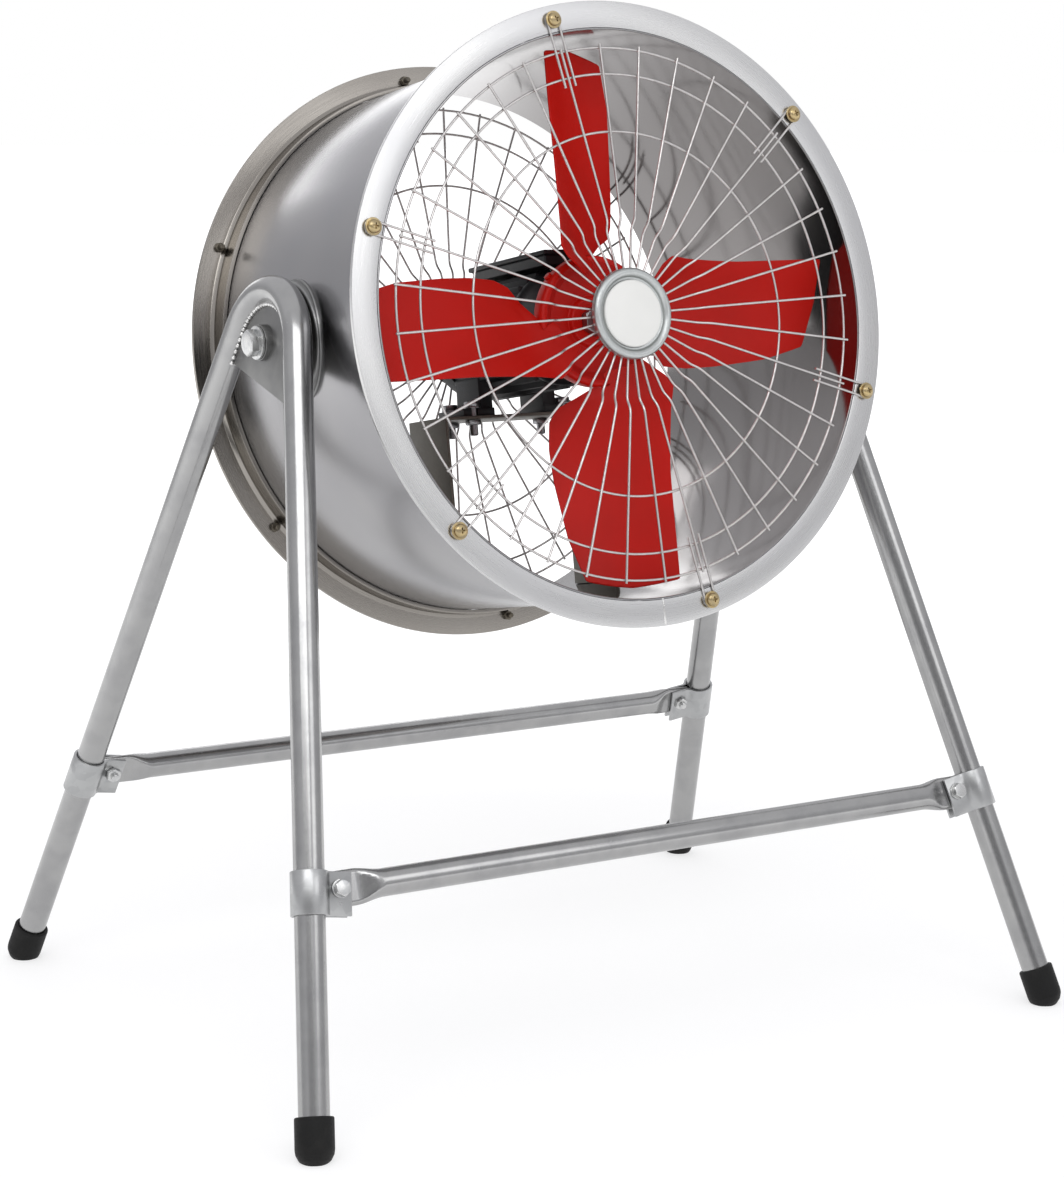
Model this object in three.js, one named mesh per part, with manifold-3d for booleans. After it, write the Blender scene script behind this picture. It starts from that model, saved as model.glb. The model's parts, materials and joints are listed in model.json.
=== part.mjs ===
// Drum fan on a tubular stand: a short steel duct with a guarded four-blade fan, hung
// between two A-frames on a tilt axis.
// Millimetres, +Z up, floor at Z = 0, air blows out towards -Y, tilt axis along X.
// Drum parts are built in the drum's own frame, origin on the tilt axis at the duct's
// centre, duct axis along Y, and are then tipped back and lifted to the pivot height.
import * as THREE from 'three';
import { mergeVertices } from 'three/addons/utils/BufferGeometryUtils.js';
import Module from 'manifold-3d';

const wasm = await Module();
wasm.setup();

// ---- driving dimensions ------------------------------------------------------------

const duct_radius = 254;          // inside of the duct
const duct_length = 320;
const duct_wall = 1.8;
const flange_radius = 280;        // outside of both flange rings
const flange_thickness = 4;
const flange_depth = 26;          // leg of the angle ring that lies along the duct
const screw_circle = 267;         // radius of the guard screws
const guard_screw_count = 6;
const front_screw_angle = -12.6;  // degrees clockwise from the top, seen from the front
const rear_screw_angle = -7;
const tilt_angle = 11;            // degrees, outlet raised

const spoke_count = 36;
const wire_radius = 1.1;
const guard_ring_radii = [163, 214.5, 238];
const guard_hub_radius = 41;
const guard_step = 6;             // how far the middle of the guard sits back
const guard_step_radius = 82;

const tip_radius = 245;
const blade_count = 4;
const blade_angle = -1.5;         // degrees clockwise from the top
const blade_width = 100;          // across the blade, measured round the shaft
const blade_thickness = 3;
const blade_root_reach = 14;      // how far a blade's root runs in over the hub's face
const tip_slant = 8;              // how much shorter the trailing corner of the tip is
const rotor_offset = 55;          // from the duct's front edge to the blades' middle
const hub_radius = 60;
const hub_depth = 28;             // of the boss, from the rim's front
const hub_rim_depth = 14;
const hub_set_back = 1;           // rim's front behind the blades' middle
const shaft_radius = 10;

const motor_radius = 52;
const fin_height = 4;
const motor_front = 124;          // from the duct's front edge to the finned body
const motor_rear_room = 66;       // from the finned body to the duct's rear edge
const shield_depth = 28;
const cowl_depth = 26;
const motor_height = 72.3;        // shaft centre above the bracket plate
const terminal_box_length = 132;
const terminal_box_half_width = 25;
const terminal_box_height = 14;
const terminal_box_lid = 3;       // how far the lid stands out past the box
const bracket_half_width = 87;
const bracket_depth = 70;
const bracket_sheet = 3;
const bracket_foot = 32;          // reach of the bracket's feet along the duct's wall
const foot_bolt_half_width = 50;
const foot_bolt_pitch = 42;

const pivot_height = 630;
const pivot_plane = 282;          // leg centre line from the middle, at pivot height
const foot_half_width = 393;      // leg centre lines where they meet the floor
const foot_half_depth = 313;
const leg_half_depth = 60;        // leg centre lines at pivot height, fore and aft
const leg_radius = 13;
const leg_wall = 1.8;
const bend_radius = 61;
const crossbar_height = 198;
const crossbar_radius = 12;
const crossbar_flat_height = 31;  // of the ends that are pressed flat
const gusset_front_drop = 24;     // gusset's lower edge below the pivot, front and back
const gusset_back_drop = 52;
const clamp_height = 37;
const clamp_sheet = 2.5;
const foot_radius = 16.5;
const foot_height = 36;

const gap = 0.3;                  // between parts that touch

// ---- derived places ----------------------------------------------------------------

const half = duct_length / 2;
const duct_facets = 48;
const duct_inner_flat = duct_radius * Math.cos(Math.PI / duct_facets);
const duct_outer = duct_radius + duct_wall;
const ring_inner = duct_outer + gap;
const rad = Math.PI / 180;
const lean = Math.atan2(foot_half_width - pivot_plane, pivot_height);

const group = new THREE.Group();
group.name = 'drum_fan';

const paint = {
  duct: [0xb9bbbd, 0.22, 1.0],
  flange: [0xc9cacb, 0.35, 0.9],
  rear_flange: [0x9a958c, 0.35, 0.9],
  wire: [0xd2d3d4, 0.35, 0.8],
  badge: [0xe8e8e6, 0.3, 0.2],
  zinc: [0xc9a85a, 0.35, 0.9],
  red: [0xb01212, 0.4, 0.0],
  steel: [0x8d8f92, 0.35, 1.0],
  motor: [0x1a1c1e, 0.5, 0.2],
  bracket: [0x57534b, 0.55, 0.4],
  tube: [0xa9abad, 0.35, 1.0],
  galvanised: [0xb4b8ba, 0.4, 0.9],
  rubber: [0x141414, 0.8, 0.0],
  nylon: [0x202224, 0.6, 0.0],
};

// ---- making closed bodies ----------------------------------------------------------

function signed_volume(position, index) {
  let total = 0;
  const a = new THREE.Vector3();
  const b = new THREE.Vector3();
  const c = new THREE.Vector3();
  for (let i = 0; i < index.length; i += 3) {
    a.fromBufferAttribute(position, index[i]);
    b.fromBufferAttribute(position, index[i + 1]);
    c.fromBufferAttribute(position, index[i + 2]);
    total += a.dot(b.cross(c)) / 6;
  }
  return total;
}

// One closed shell with shared corners, no flat triangles and faces outwards.
function closed(geometry) {
  const bare = geometry.clone();
  bare.deleteAttribute('normal');
  bare.deleteAttribute('uv');
  const merged = mergeVertices(bare, 1e-4);
  const index = [];
  const source = merged.index.array;
  for (let i = 0; i < source.length; i += 3) {
    const [a, b, c] = [source[i], source[i + 1], source[i + 2]];
    if (a !== b && b !== c && a !== c) {
      index.push(a, b, c);
    }
  }
  if (signed_volume(merged.attributes.position, index) < 0) {
    for (let i = 0; i < index.length; i += 3) {
      [index[i + 1], index[i + 2]] = [index[i + 2], index[i + 1]];
    }
  }
  merged.setIndex(index);
  return merged;
}

function to_manifold(geometry) {
  const body = closed(geometry);
  return new wasm.Manifold(new wasm.Mesh({
    numProp: 3,
    vertProperties: new Float32Array(body.attributes.position.array),
    triVerts: new Uint32Array(body.index.array),
  }));
}

function from_manifold(solid) {
  const mesh = solid.getMesh();
  const geometry = new THREE.BufferGeometry();
  geometry.setAttribute('position', new THREE.BufferAttribute(mesh.vertProperties, 3));
  geometry.setIndex(new THREE.BufferAttribute(mesh.triVerts, 1));
  return geometry;
}

function cut(geometry, tools) {
  let solid = to_manifold(geometry);
  for (const tool of tools) {
    solid = solid.subtract(to_manifold(tool));
  }
  return from_manifold(solid);
}

// Joined two by two, so that the later steps stay small.
function join(geometries) {
  let solids = geometries.map(to_manifold);
  while (solids.length > 1) {
    const next = [];
    for (let i = 0; i < solids.length; i += 2) {
      next.push(i + 1 < solids.length ? solids[i].add(solids[i + 1]) : solids[i]);
    }
    solids = next;
  }
  return from_manifold(solids[0]);
}

// Turned about the Y axis from (radius, y) points; a closed profile off the axis is a ring.
function turned(profile, segments = 48, ring = false) {
  const points = profile.map(([r, y]) => new THREE.Vector2(r, y));
  if (ring) {
    points.push(points[0].clone());
  }
  return new THREE.LatheGeometry(points, segments);
}

// Rings of corners joined in order, with flat ends or closed on itself.
function skin(rings, loop = false) {
  const sides = rings[0].length;
  const position = [];
  const index = [];
  for (const ring of rings) {
    for (const p of ring) {
      position.push(p.x, p.y, p.z);
    }
  }
  const spans = loop ? rings.length : rings.length - 1;
  for (let i = 0; i < spans; i += 1) {
    const next = (i + 1) % rings.length;
    for (let j = 0; j < sides; j += 1) {
      const k = (j + 1) % sides;
      const [a, b, c, d] = [i * sides + j, i * sides + k, next * sides + j, next * sides + k];
      index.push(a, b, d, a, d, c);
    }
  }
  if (!loop) {
    const last = (rings.length - 1) * sides;
    for (let j = 0; j < Math.ceil(sides / 2) - 1; j += 1) {
      const [a, b, c, d] = [j, j + 1, sides - 2 - j, sides - 1 - j];
      index.push(a, c, b, a, d, c);
      index.push(last + a, last + b, last + c, last + a, last + c, last + d);
    }
  }
  const geometry = new THREE.BufferGeometry();
  geometry.setAttribute('position', new THREE.Float32BufferAttribute(position, 3));
  geometry.setIndex(index);
  return geometry;
}

// Rings of corners round a path, each on the plane that halves the bend at its point.
function path_rings(points, radius, sides, normal, loop = false, turn = 0) {
  const count = points.length;
  const rings = [];
  for (let i = 0; i < count; i += 1) {
    const before = points[loop ? (i + count - 1) % count : Math.max(i - 1, 0)];
    const after = points[loop ? (i + 1) % count : Math.min(i + 1, count - 1)];
    const here = points[i];
    const into = here.clone().sub(before).normalize();
    const out = after.clone().sub(here).normalize();
    if (into.length() < 0.5) {
      into.copy(out);
    }
    if (out.length() < 0.5) {
      out.copy(into);
    }
    const along = into.clone().add(out).normalize();
    const stretch = 1 / Math.max(along.dot(into), 0.5);
    const side = new THREE.Vector3().crossVectors(along, normal).normalize();
    const up = new THREE.Vector3().crossVectors(side, along).normalize();
    const ring = [];
    for (let j = 0; j < sides; j += 1) {
      const angle = (j / sides) * 2 * Math.PI + turn;
      const p = here.clone();
      p.addScaledVector(side, radius * stretch * Math.cos(angle));
      p.addScaledVector(up, radius * Math.sin(angle));
      ring.push(p);
    }
    rings.push(ring);
  }
  return rings;
}

function rod(points, radius, sides, normal, loop = false, turn = 0) {
  return skin(path_rings(points, radius, sides, normal, loop, turn), loop);
}

// A tube with open ends: the outside, back along the inside, and a rim at either end.
function hollow_rod(points, outer, inner, sides, normal) {
  const outside = path_rings(points, outer, sides, normal);
  const inside = path_rings(points, inner, sides, normal).reverse();
  return skin([...outside, ...inside], true);
}

// A right prism from (x, y) corners, extruded along Z.
function prism(corners, length, holes = []) {
  const shape = new THREE.Shape(corners.map(([x, y]) => new THREE.Vector2(x, y)));
  for (const [x, y, r] of holes) {
    const path = new THREE.Path();
    path.absarc(x, y, r, 0, 2 * Math.PI, true);
    shape.holes.push(path);
  }
  return new THREE.ExtrudeGeometry(shape, { depth: length, bevelEnabled: false, curveSegments: 8 });
}

function box(x0, x1, y0, y1, z0, z1) {
  const geometry = new THREE.BoxGeometry(x1 - x0, y1 - y0, z1 - z0);
  return geometry.translate((x0 + x1) / 2, (y0 + y1) / 2, (z0 + z1) / 2);
}

function circle_corners(radius, count, start = 0) {
  const corners = [];
  for (let i = 0; i < count; i += 1) {
    const angle = start + (i / count) * 2 * Math.PI;
    corners.push([radius * Math.cos(angle), radius * Math.sin(angle)]);
  }
  return corners;
}

// The geometry's Y axis laid along a direction, its origin moved to a point.
function aim(geometry, direction, origin) {
  const up = new THREE.Vector3(0, 1, 0);
  const turn = new THREE.Quaternion().setFromUnitVectors(up, direction.clone().normalize());
  const matrix = new THREE.Matrix4().makeRotationFromQuaternion(turn);
  matrix.setPosition(origin);
  return geometry.applyMatrix4(matrix);
}

// Head, shank and nut in one turned and faceted body; y = 0 is under the head.
function bolt(head_flats, head_height, washer_radius, washer_height, shank, length, nut = 0) {
  const parts = [];
  const corner = head_flats / Math.sqrt(3);
  const hexagon = prism(circle_corners(corner, 6), head_height);
  hexagon.rotateX(-Math.PI / 2);
  hexagon.translate(0, washer_height - 0.2, 0);
  parts.push(hexagon);
  parts.push(turned([[0, 0], [washer_radius, 0], [washer_radius, washer_height],
    [0, washer_height]], 10));
  parts.push(turned([[0, 0.5], [shank, 0.5], [shank, -length], [0, -length]], 6));
  if (nut > 0) {
    const nut_body = prism(circle_corners(corner, 6), head_height);
    nut_body.rotateX(-Math.PI / 2);
    nut_body.translate(0, -nut - head_height, 0);
    parts.push(nut_body);
  }
  return join(parts);
}

// ---- placing -----------------------------------------------------------------------

const drum_place = new THREE.Matrix4().makeRotationX(-tilt_angle * rad);
drum_place.setPosition(0, 0, pivot_height);

function add(name, geometry, look, matrix = null) {
  const body = closed(geometry);
  if (matrix) {
    body.applyMatrix4(matrix);
  }
  body.computeVertexNormals();
  const [color, roughness, metalness] = paint[look];
  const material = new THREE.MeshStandardMaterial({ color, roughness, metalness });
  material.name = look;
  const mesh = new THREE.Mesh(body, material);
  mesh.name = name;
  group.add(mesh);
}

function add_drum(name, geometry, look) {
  add(name, geometry, look, drum_place);
}

// A point in the drum's frame from an angle clockwise from the top, seen from the front.
function around(radius, degrees, y) {
  return new THREE.Vector3(radius * Math.sin(degrees * rad), y, radius * Math.cos(degrees * rad));
}

const along_y = new THREE.Vector3(0, 1, 0);
const along_x = new THREE.Vector3(1, 0, 0);

// ---- duct and flange rings ---------------------------------------------------------

add_drum('drum_shell', turned([[duct_radius, -half], [duct_outer, -half], [duct_outer, half],
  [duct_radius, half]], duct_facets, true), 'duct');

// Angle ring with its flat leg flush with the duct's end; end is -1 front or 1 rear.
function flange_ring(end, screw_angle) {
  const face = end * half;
  const back = end * (half - flange_thickness);
  const heel = end * (half - flange_depth);
  const ring = turned([[ring_inner, face], [flange_radius, face], [flange_radius, back],
    [ring_inner + flange_thickness, back], [ring_inner + flange_thickness, heel],
    [ring_inner, heel]], duct_facets, true);
  const holes = [];
  for (let i = 0; i < guard_screw_count; i += 1) {
    const hole = turned([[0, -10], [3.4, -10], [3.4, 10], [0, 10]], 6);
    const at = around(screw_circle, screw_angle + i * 360 / guard_screw_count, face);
    holes.push(hole.translate(at.x, at.y, at.z));
  }
  return cut(ring, holes);
}

add_drum('front_flange', flange_ring(-1, front_screw_angle), 'flange');
add_drum('rear_flange', flange_ring(1, rear_screw_angle), 'rear_flange');

// ---- wire guards -------------------------------------------------------------------

const hairpin_half = 5.5;

const weld_depth = 0.6;           // how far crossing wires sink into each other

// Four-sided wire of the round one's own area, laid on edge so that crossings meet
// ridge on ridge; the spokes and the rings lie in two layers.
const wire_ridge = wire_radius * Math.sqrt(Math.PI / 2);

function wire(points, loop = false) {
  return rod(points, wire_ridge, 4, along_y, loop);
}

function wire_ring(radius, y, first_angle, count) {
  const points = [];
  for (let i = 0; i < count; i += 1) {
    points.push(around(radius, first_angle + i * 360 / count, y));
  }
  return wire(points, true);
}

// Middle plate with every spoke growing out of its rim, stepping up to the outer plane.
function spoke_star(low, top, reach, first_angle) {
  const position = [];
  const index = [];
  const plate = guard_hub_radius - 6;
  const corner = (radius, angle, across, y) => {
    const a = angle * rad;
    position.push(radius * Math.sin(a) + across * Math.cos(a), y,
      radius * Math.cos(a) - across * Math.sin(a));
    return position.length / 3 - 1;
  };
  const quad = (a, b, c, d) => index.push(a, b, c, a, c, d);
  const front = corner(0, 0, 0, low - wire_ridge);
  const back = corner(0, 0, 0, low + wire_ridge);
  const roots = [];
  for (let i = 0; i < spoke_count; i += 1) {
    const angle = first_angle + i * 360 / spoke_count;
    let last = null;
    for (const [radius, y] of [[plate, low], [guard_step_radius - 5, low],
      [guard_step_radius + 3, top], [reach, top]]) {
      const here = [corner(radius, angle, 0, y - wire_ridge),
        corner(radius, angle, wire_ridge, y), corner(radius, angle, 0, y + wire_ridge),
        corner(radius, angle, -wire_ridge, y)];
      if (last) {
        for (let j = 0; j < 4; j += 1) {
          const k = (j + 1) % 4;
          quad(last[j], here[j], here[k], last[k]);
        }
      } else {
        roots.push(here);
      }
      last = here;
    }
    quad(last[0], last[3], last[2], last[1]);
  }
  for (let i = 0; i < spoke_count; i += 1) {
    const here = roots[i];
    const next = roots[(i + 1) % spoke_count];
    index.push(front, here[3], here[0], front, here[0], here[1], front, here[1], next[3]);
    index.push(back, here[2], here[3], back, here[1], here[2], back, next[3], here[1]);
  }
  const geometry = new THREE.BufferGeometry();
  geometry.setAttribute('position', new THREE.Float32BufferAttribute(position, 3));
  geometry.setIndex(index);
  return geometry;
}

// Spokes in front, rings welded behind them, and a hairpin over the flange at each screw.
function guard(end, screw_angle) {
  const top = end * (half + wire_ridge + gap);
  const low = top - end * guard_step;
  const under = end * (2 * wire_ridge - weld_depth);
  const outer = guard_ring_radii[guard_ring_radii.length - 1];
  const step = 360 / spoke_count;
  const parts = [spoke_star(low, top, outer + 3, screw_angle)];
  for (const radius of guard_ring_radii) {
    parts.push(wire_ring(radius, top - under, screw_angle + step / 2, spoke_count));
  }
  for (let i = 0; i < guard_screw_count; i += 1) {
    const angle = screw_angle + i * 360 / guard_screw_count;
    const matrix = new THREE.Matrix4().makeRotationY(angle * rad);
    const points = [new THREE.Vector3(-hairpin_half, top, guard_ring_radii[1] - 8)];
    for (let k = 0; k <= 4; k += 1) {
      const a = Math.PI - k * Math.PI / 4;
      points.push(new THREE.Vector3(hairpin_half * Math.cos(a), top,
        screw_circle + hairpin_half * Math.sin(a)));
    }
    points.push(new THREE.Vector3(hairpin_half, top, guard_ring_radii[1] - 8));
    parts.push(wire(points.map((p) => p.applyMatrix4(matrix))));
  }
  return join(parts);
}

add_drum('front_guard', guard(-1, front_screw_angle), 'wire');
add_drum('rear_guard', guard(1, rear_screw_angle), 'wire');

// Plain pressed disc over the middle of the front guard.
const disc_back = -(half + wire_ridge + gap) + guard_step - wire_ridge - gap;
add_drum('badge_disc', turned([[0, disc_back], [guard_hub_radius, disc_back],
  [guard_hub_radius, disc_back - 6.5], [guard_hub_radius - 1.2, disc_back - 7.8],
  [guard_hub_radius - 5.5, disc_back - 7.8], [guard_hub_radius - 8, disc_back - 5.8],
  [guard_hub_radius - 11, disc_back - 7.2], [0, disc_back - 7.2]], 32), 'badge');

// ---- guard screws ------------------------------------------------------------------

function guard_screw(end) {
  const seat = half + 2 * wire_ridge + 2 * gap;
  const head = seat + 1.4;
  const profile = [[0, end * (half - 14)], [2.6, end * (half - 14)], [2.6, end * seat],
    [8.5, end * seat], [6.4, end * head], [4.6, end * (head + 3.6)],
    [0, end * (head + 3.6)]];
  return turned(profile, 8);
}

for (let i = 0; i < guard_screw_count; i += 1) {
  const step = i * 360 / guard_screw_count;
  const front = around(screw_circle, front_screw_angle + step, 0);
  const rear = around(screw_circle, rear_screw_angle + step, 0);
  add_drum(`front_screw_${i + 1}`, guard_screw(-1).translate(front.x, 0, front.z), 'zinc');
  add_drum(`rear_screw_${i + 1}`, guard_screw(1).translate(rear.x, 0, rear.z), 'zinc');
}

// ---- rotor -------------------------------------------------------------------------

const blade_plane = -half + rotor_offset;
const hub_front = blade_plane + hub_set_back;
const hub_back = hub_front + hub_depth;
const rim_back = hub_front + hub_rim_depth;
const boss_radius = shaft_radius + 12;
const boss_front = hub_front + 8;
const hub_facets = 24;

add_drum('fan_hub', turned([[shaft_radius + gap, boss_front], [boss_radius, boss_front],
  [boss_radius + 2, boss_front + 5], [hub_radius - 14, hub_front + 7], [hub_radius - 6, hub_front],
  [hub_radius - 2, hub_front], [hub_radius, hub_front + 3], [hub_radius, rim_back],
  [hub_radius - 4, rim_back], [hub_radius - 4, hub_front + 9], [hub_radius - 8, hub_front + 7],
  [hub_radius - 13, hub_front + 12], [boss_radius + 3, boss_front + 10],
  [boss_radius, hub_back], [shaft_radius + gap, hub_back]], hub_facets, true), 'red');

// Leading edge, then trailing edge, by share of the span from hub to tip: how far round
// the shaft and how far behind the blades' middle, as shares of the blade's width.
const blade_stations = [
  [-blade_root_reach / (tip_radius - hub_radius), -0.26, -0.26, -0.02, -0.02],
  [0, -0.38, -0.3, 0.06, 0.1],
  [0.065, -0.49, -0.32, 0.22, 0.22],
  [0.13, -0.56, -0.33, 0.38, 0.28],
  [0.205, -0.51, -0.3, 0.46, 0.32],
  [0.335, -0.475, -0.27, 0.49, 0.32],
  [0.485, -0.45, -0.245, 0.49, 0.29],
  [0.757, -0.44, -0.235, 0.46, 0.19],
  [1, -0.43, -0.24, 0.38, 0.105],
];
const blade_camber = 0.06;

// Each section is a thin cambered strip that lies on a cylinder about the shaft.
function blade(angle) {
  const chord_steps = 8;
  const rings = [];
  for (const [share, lead_round, lead_back, trail_round, trail_back] of blade_stations) {
    const radius = hub_radius + share * (tip_radius - hub_radius);
    const lead = new THREE.Vector2(lead_round, lead_back).multiplyScalar(blade_width);
    const chord = new THREE.Vector2(trail_round, trail_back).multiplyScalar(blade_width).sub(lead);
    const normal = new THREE.Vector2(-chord.y, chord.x).normalize();
    const front_side = [];
    const back_side = [];
    for (let i = 0; i <= chord_steps; i += 1) {
      const t = i / chord_steps;
      const rise = blade_camber * chord.length() * 4 * t * (1 - t);
      const thick = blade_thickness * (t === 0 || t === 1 ? 0.3 : 0.5);
      const r = radius - (share === 1 ? tip_slant * Math.max(0, (t - 0.5) * 2) : 0);
      for (const [side, list] of [[-1, front_side], [1, back_side]]) {
        const at = lead.clone().addScaledVector(chord, t);
        at.addScaledVector(normal, rise + side * thick);
        list.push(around(r, angle + at.x / radius / rad, blade_plane + at.y));
      }
    }
    rings.push([...front_side, ...back_side.reverse()]);
  }
  return skin(rings);
}

// The roots are notched to seat on the hub's front and rim.
const hub_seat = turned([[0, hub_front - gap], [hub_radius + gap, hub_front - gap],
  [hub_radius + gap, hub_back], [0, hub_back]], hub_facets);

for (let i = 0; i < blade_count; i += 1) {
  const turn = blade_angle + i * 360 / blade_count;
  add_drum(`blade_${i + 1}`, cut(blade(turn), [hub_seat]), 'red');
}

const body_front = -half + motor_front;
const body_back = half - motor_rear_room;
const motor_length = body_back - body_front;
const stub_radius = 6;

add_drum('motor_shaft', turned([[0, boss_front - 12], [stub_radius, boss_front - 12],
  [stub_radius, boss_front + 0.5], [shaft_radius, boss_front + 0.5],
  [shaft_radius, body_front - 1], [0, body_front - 1]], 20), 'steel');

const hub_nut = prism(circle_corners(14, 6), 9, [[0, 0, stub_radius + gap]]);
hub_nut.rotateX(-Math.PI / 2);
add_drum('hub_nut', hub_nut.translate(0, boss_front - gap - 9, 0), 'steel');

// ---- motor -------------------------------------------------------------------------

const shield_front = body_front - shield_depth;
add_drum('motor_front_shield', turned([[shaft_radius + gap, shield_front],
  [shaft_radius + 13, shield_front], [shaft_radius + 15, shield_front + 6],
  [motor_radius - 16, shield_front + 9], [motor_radius - 3, shield_front + 17],
  [motor_radius + 1, shield_front + 22], [motor_radius + 1, body_front - gap],
  [shaft_radius + gap, body_front - gap]], 24, true), 'motor');

const fin_count = 28;
const fin_corners = [];
for (let i = 0; i < fin_count; i += 1) {
  const pitch = 2 * Math.PI / fin_count;
  for (const [share, extra] of [[0.2, 0], [0.42, fin_height], [0.62, fin_height], [0.84, 0]]) {
    const a = (i + share) * pitch;
    const r = motor_radius + extra;
    fin_corners.push([r * Math.cos(a), r * Math.sin(a)]);
  }
}
const finned = prism(fin_corners, motor_length);
finned.rotateX(-Math.PI / 2);
finned.translate(0, body_front, 0);

const cowl_front = body_back + gap;
const cowl_back = cowl_front + cowl_depth;
const bracket_back = cowl_back - 14;
const bracket_front = bracket_back - bracket_depth;
const plate_top = -motor_height;
const pad_top = plate_top + gap + 7;
const foot_inside = foot_bolt_half_width - 22;
const foot_front = bracket_front + 8;
const foot_back = body_back - 2;
const bolts_mid = (foot_front + foot_back) / 2;
const foot_parts = [finned];
for (const side of [-1, 1]) {
  const x = [side * foot_inside, side * (foot_bolt_half_width + 12)].sort((a, b) => a - b);
  foot_parts.push(box(x[0], x[1], foot_front, foot_back, plate_top + gap, pad_top));
  const w = [side * foot_inside, side * (foot_inside + 14)].sort((a, b) => a - b);
  foot_parts.push(box(w[0], w[1], foot_front + 3, foot_back - 3, pad_top - 1,
    -motor_radius * 0.7));
}
const foot_bolts = [];
for (const side of [-1, 1]) {
  for (const end of [-1, 1]) {
    foot_bolts.push([side * foot_bolt_half_width, bolts_mid + end * foot_bolt_pitch / 2]);
  }
}

function foot_hole([x, y]) {
  const hole = turned([[0, -12], [4.4, -12], [4.4, 12], [0, 12]], 8);
  hole.rotateX(Math.PI / 2);
  return hole.translate(x, y, plate_top);
}

add_drum('motor_body', cut(join(foot_parts), foot_bolts.map(foot_hole)), 'motor');

add_drum('motor_fan_cowl', turned([[0, cowl_back], [motor_radius - 10, cowl_back],
  [motor_radius - 3, cowl_back - 2], [motor_radius + 2, cowl_back - 9],
  [motor_radius + 2, cowl_front], [motor_radius, cowl_front], [motor_radius, cowl_back - 10],
  [motor_radius - 4, cowl_back - 4], [motor_radius - 10, cowl_back - 2],
  [0, cowl_back - 2]], 24), 'motor');

// Low terminal box on top of the motor, its lid a little larger than the box.
const box_bottom = motor_radius + fin_height + gap;
const box_front = body_front - shield_depth + 1;
const box_back = box_front + terminal_box_length;
const box_side = terminal_box_half_width;
const lid_side = box_side + terminal_box_lid;
const lid_bottom = box_bottom + terminal_box_height - 4.5;
add_drum('terminal_box', join([
  box(-box_side, box_side, box_front, box_back, box_bottom, lid_bottom + 0.5),
  box(-lid_side, lid_side, box_front - terminal_box_lid, box_back + terminal_box_lid, lid_bottom,
    box_bottom + terminal_box_height),
]), 'motor');

const gland = turned([[0, 0], [4.4, 0], [4.4, 4], [3.8, 4.4], [3.8, 12], [2.6, 15], [0, 15]], 12);
gland.rotateZ(-Math.PI / 2);
add_drum('cable_gland', gland.translate(box_side + gap, box_back - 20, box_bottom + 4.7), 'nylon');

// Bridge of bent sheet from wall to wall under the motor, feet following the duct.
const seat = duct_inner_flat - gap;
function wall_z(radius, x) {
  return -Math.sqrt(radius * radius - x * x);
}
const inside = bracket_half_width - bracket_sheet;
const foot_reach = bracket_half_width + bracket_foot;
const profile = [[-inside, plate_top - bracket_sheet]];
profile.push([inside, plate_top - bracket_sheet]);
profile.push([inside, wall_z(seat, inside)]);
for (let i = 1; i <= 4; i += 1) {
  const x = inside + (foot_reach - inside) * i / 4;
  profile.push([x, wall_z(seat, x)]);
}
for (let i = 0; i <= 3; i += 1) {
  const x = foot_reach - (foot_reach - bracket_half_width) * i / 3;
  profile.push([x, wall_z(seat - bracket_sheet, x)]);
}
profile.push([bracket_half_width, plate_top]);
const mirrored = profile.slice(1).map(([x, z]) => [-x, z]).reverse();
const bridge = prism([...profile.slice(1), ...mirrored], bracket_depth);
bridge.rotateX(Math.PI / 2);
bridge.translate(0, bracket_back, 0);
add_drum('motor_bracket', cut(bridge, foot_bolts.map(foot_hole)), 'bracket');

foot_bolts.forEach(([x, y], i) => {
  const drop = pad_top + gap - (plate_top - bracket_sheet - gap);
  const piece = bolt(13, 5, 8, 1.5, 4, drop + 16, drop);
  aim(piece, new THREE.Vector3(0, 0, 1), new THREE.Vector3(x, y, pad_top + gap));
  add_drum(`motor_bolt_${i + 1}`, piece, 'steel');
});

// ---- stand -------------------------------------------------------------------------

const slant_height = pivot_height / Math.cos(lean);

// A point in the leaning plane of a side frame: y fore and aft, up from the floor.
function frame_point(side, y, up) {
  const x = foot_half_width - up * Math.sin(lean);
  return new THREE.Vector3(side * x, y, up * Math.cos(lean));
}

// Legs run straight to a bend that is tangent to both of them.
const leg_slope = Math.atan2(foot_half_depth - leg_half_depth, slant_height);
const apex = slant_height + leg_half_depth / Math.tan(leg_slope);
const bend_centre = apex - bend_radius / Math.sin(leg_slope);
const cup_floor = 9;
const leg_end = (cup_floor + gap) / Math.hypot(1, Math.tan(leg_slope));

function leg_y(up) {
  return foot_half_depth - up * Math.tan(leg_slope);
}

const bend_steps = 10;

function side_frame(side) {
  const points = [frame_point(side, -leg_y(leg_end), leg_end)];
  const bends = bend_steps;
  for (let i = 0; i <= bends; i += 1) {
    const a = leg_slope + (i / bends) * (Math.PI - 2 * leg_slope);
    points.push(frame_point(side, -bend_radius * Math.cos(a), bend_centre
      + bend_radius * Math.sin(a)));
  }
  points.push(frame_point(side, leg_y(leg_end), leg_end));
  const normal = new THREE.Vector3(side * Math.cos(lean), 0, Math.sin(lean));
  return hollow_rod(points, leg_radius, leg_radius - leg_wall, 12, normal);
}

const pivot_bolt_radius = 7;
const sleeve_radius = 16;
const boss_face = 268;
const spacer_thickness = 3.4;
const sleeve_in = boss_face + spacer_thickness + 2 * gap;
const sleeve_out = sleeve_in + 18;
const pad_radius = 54;
const pad_face = duct_outer + 4.5;

function side_name(side) {
  return side < 0 ? 'left' : 'right';
}

function place_outwards(geometry, side) {
  return aim(geometry, new THREE.Vector3(side, 0, 0), new THREE.Vector3(0, 0, 0));
}

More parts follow.
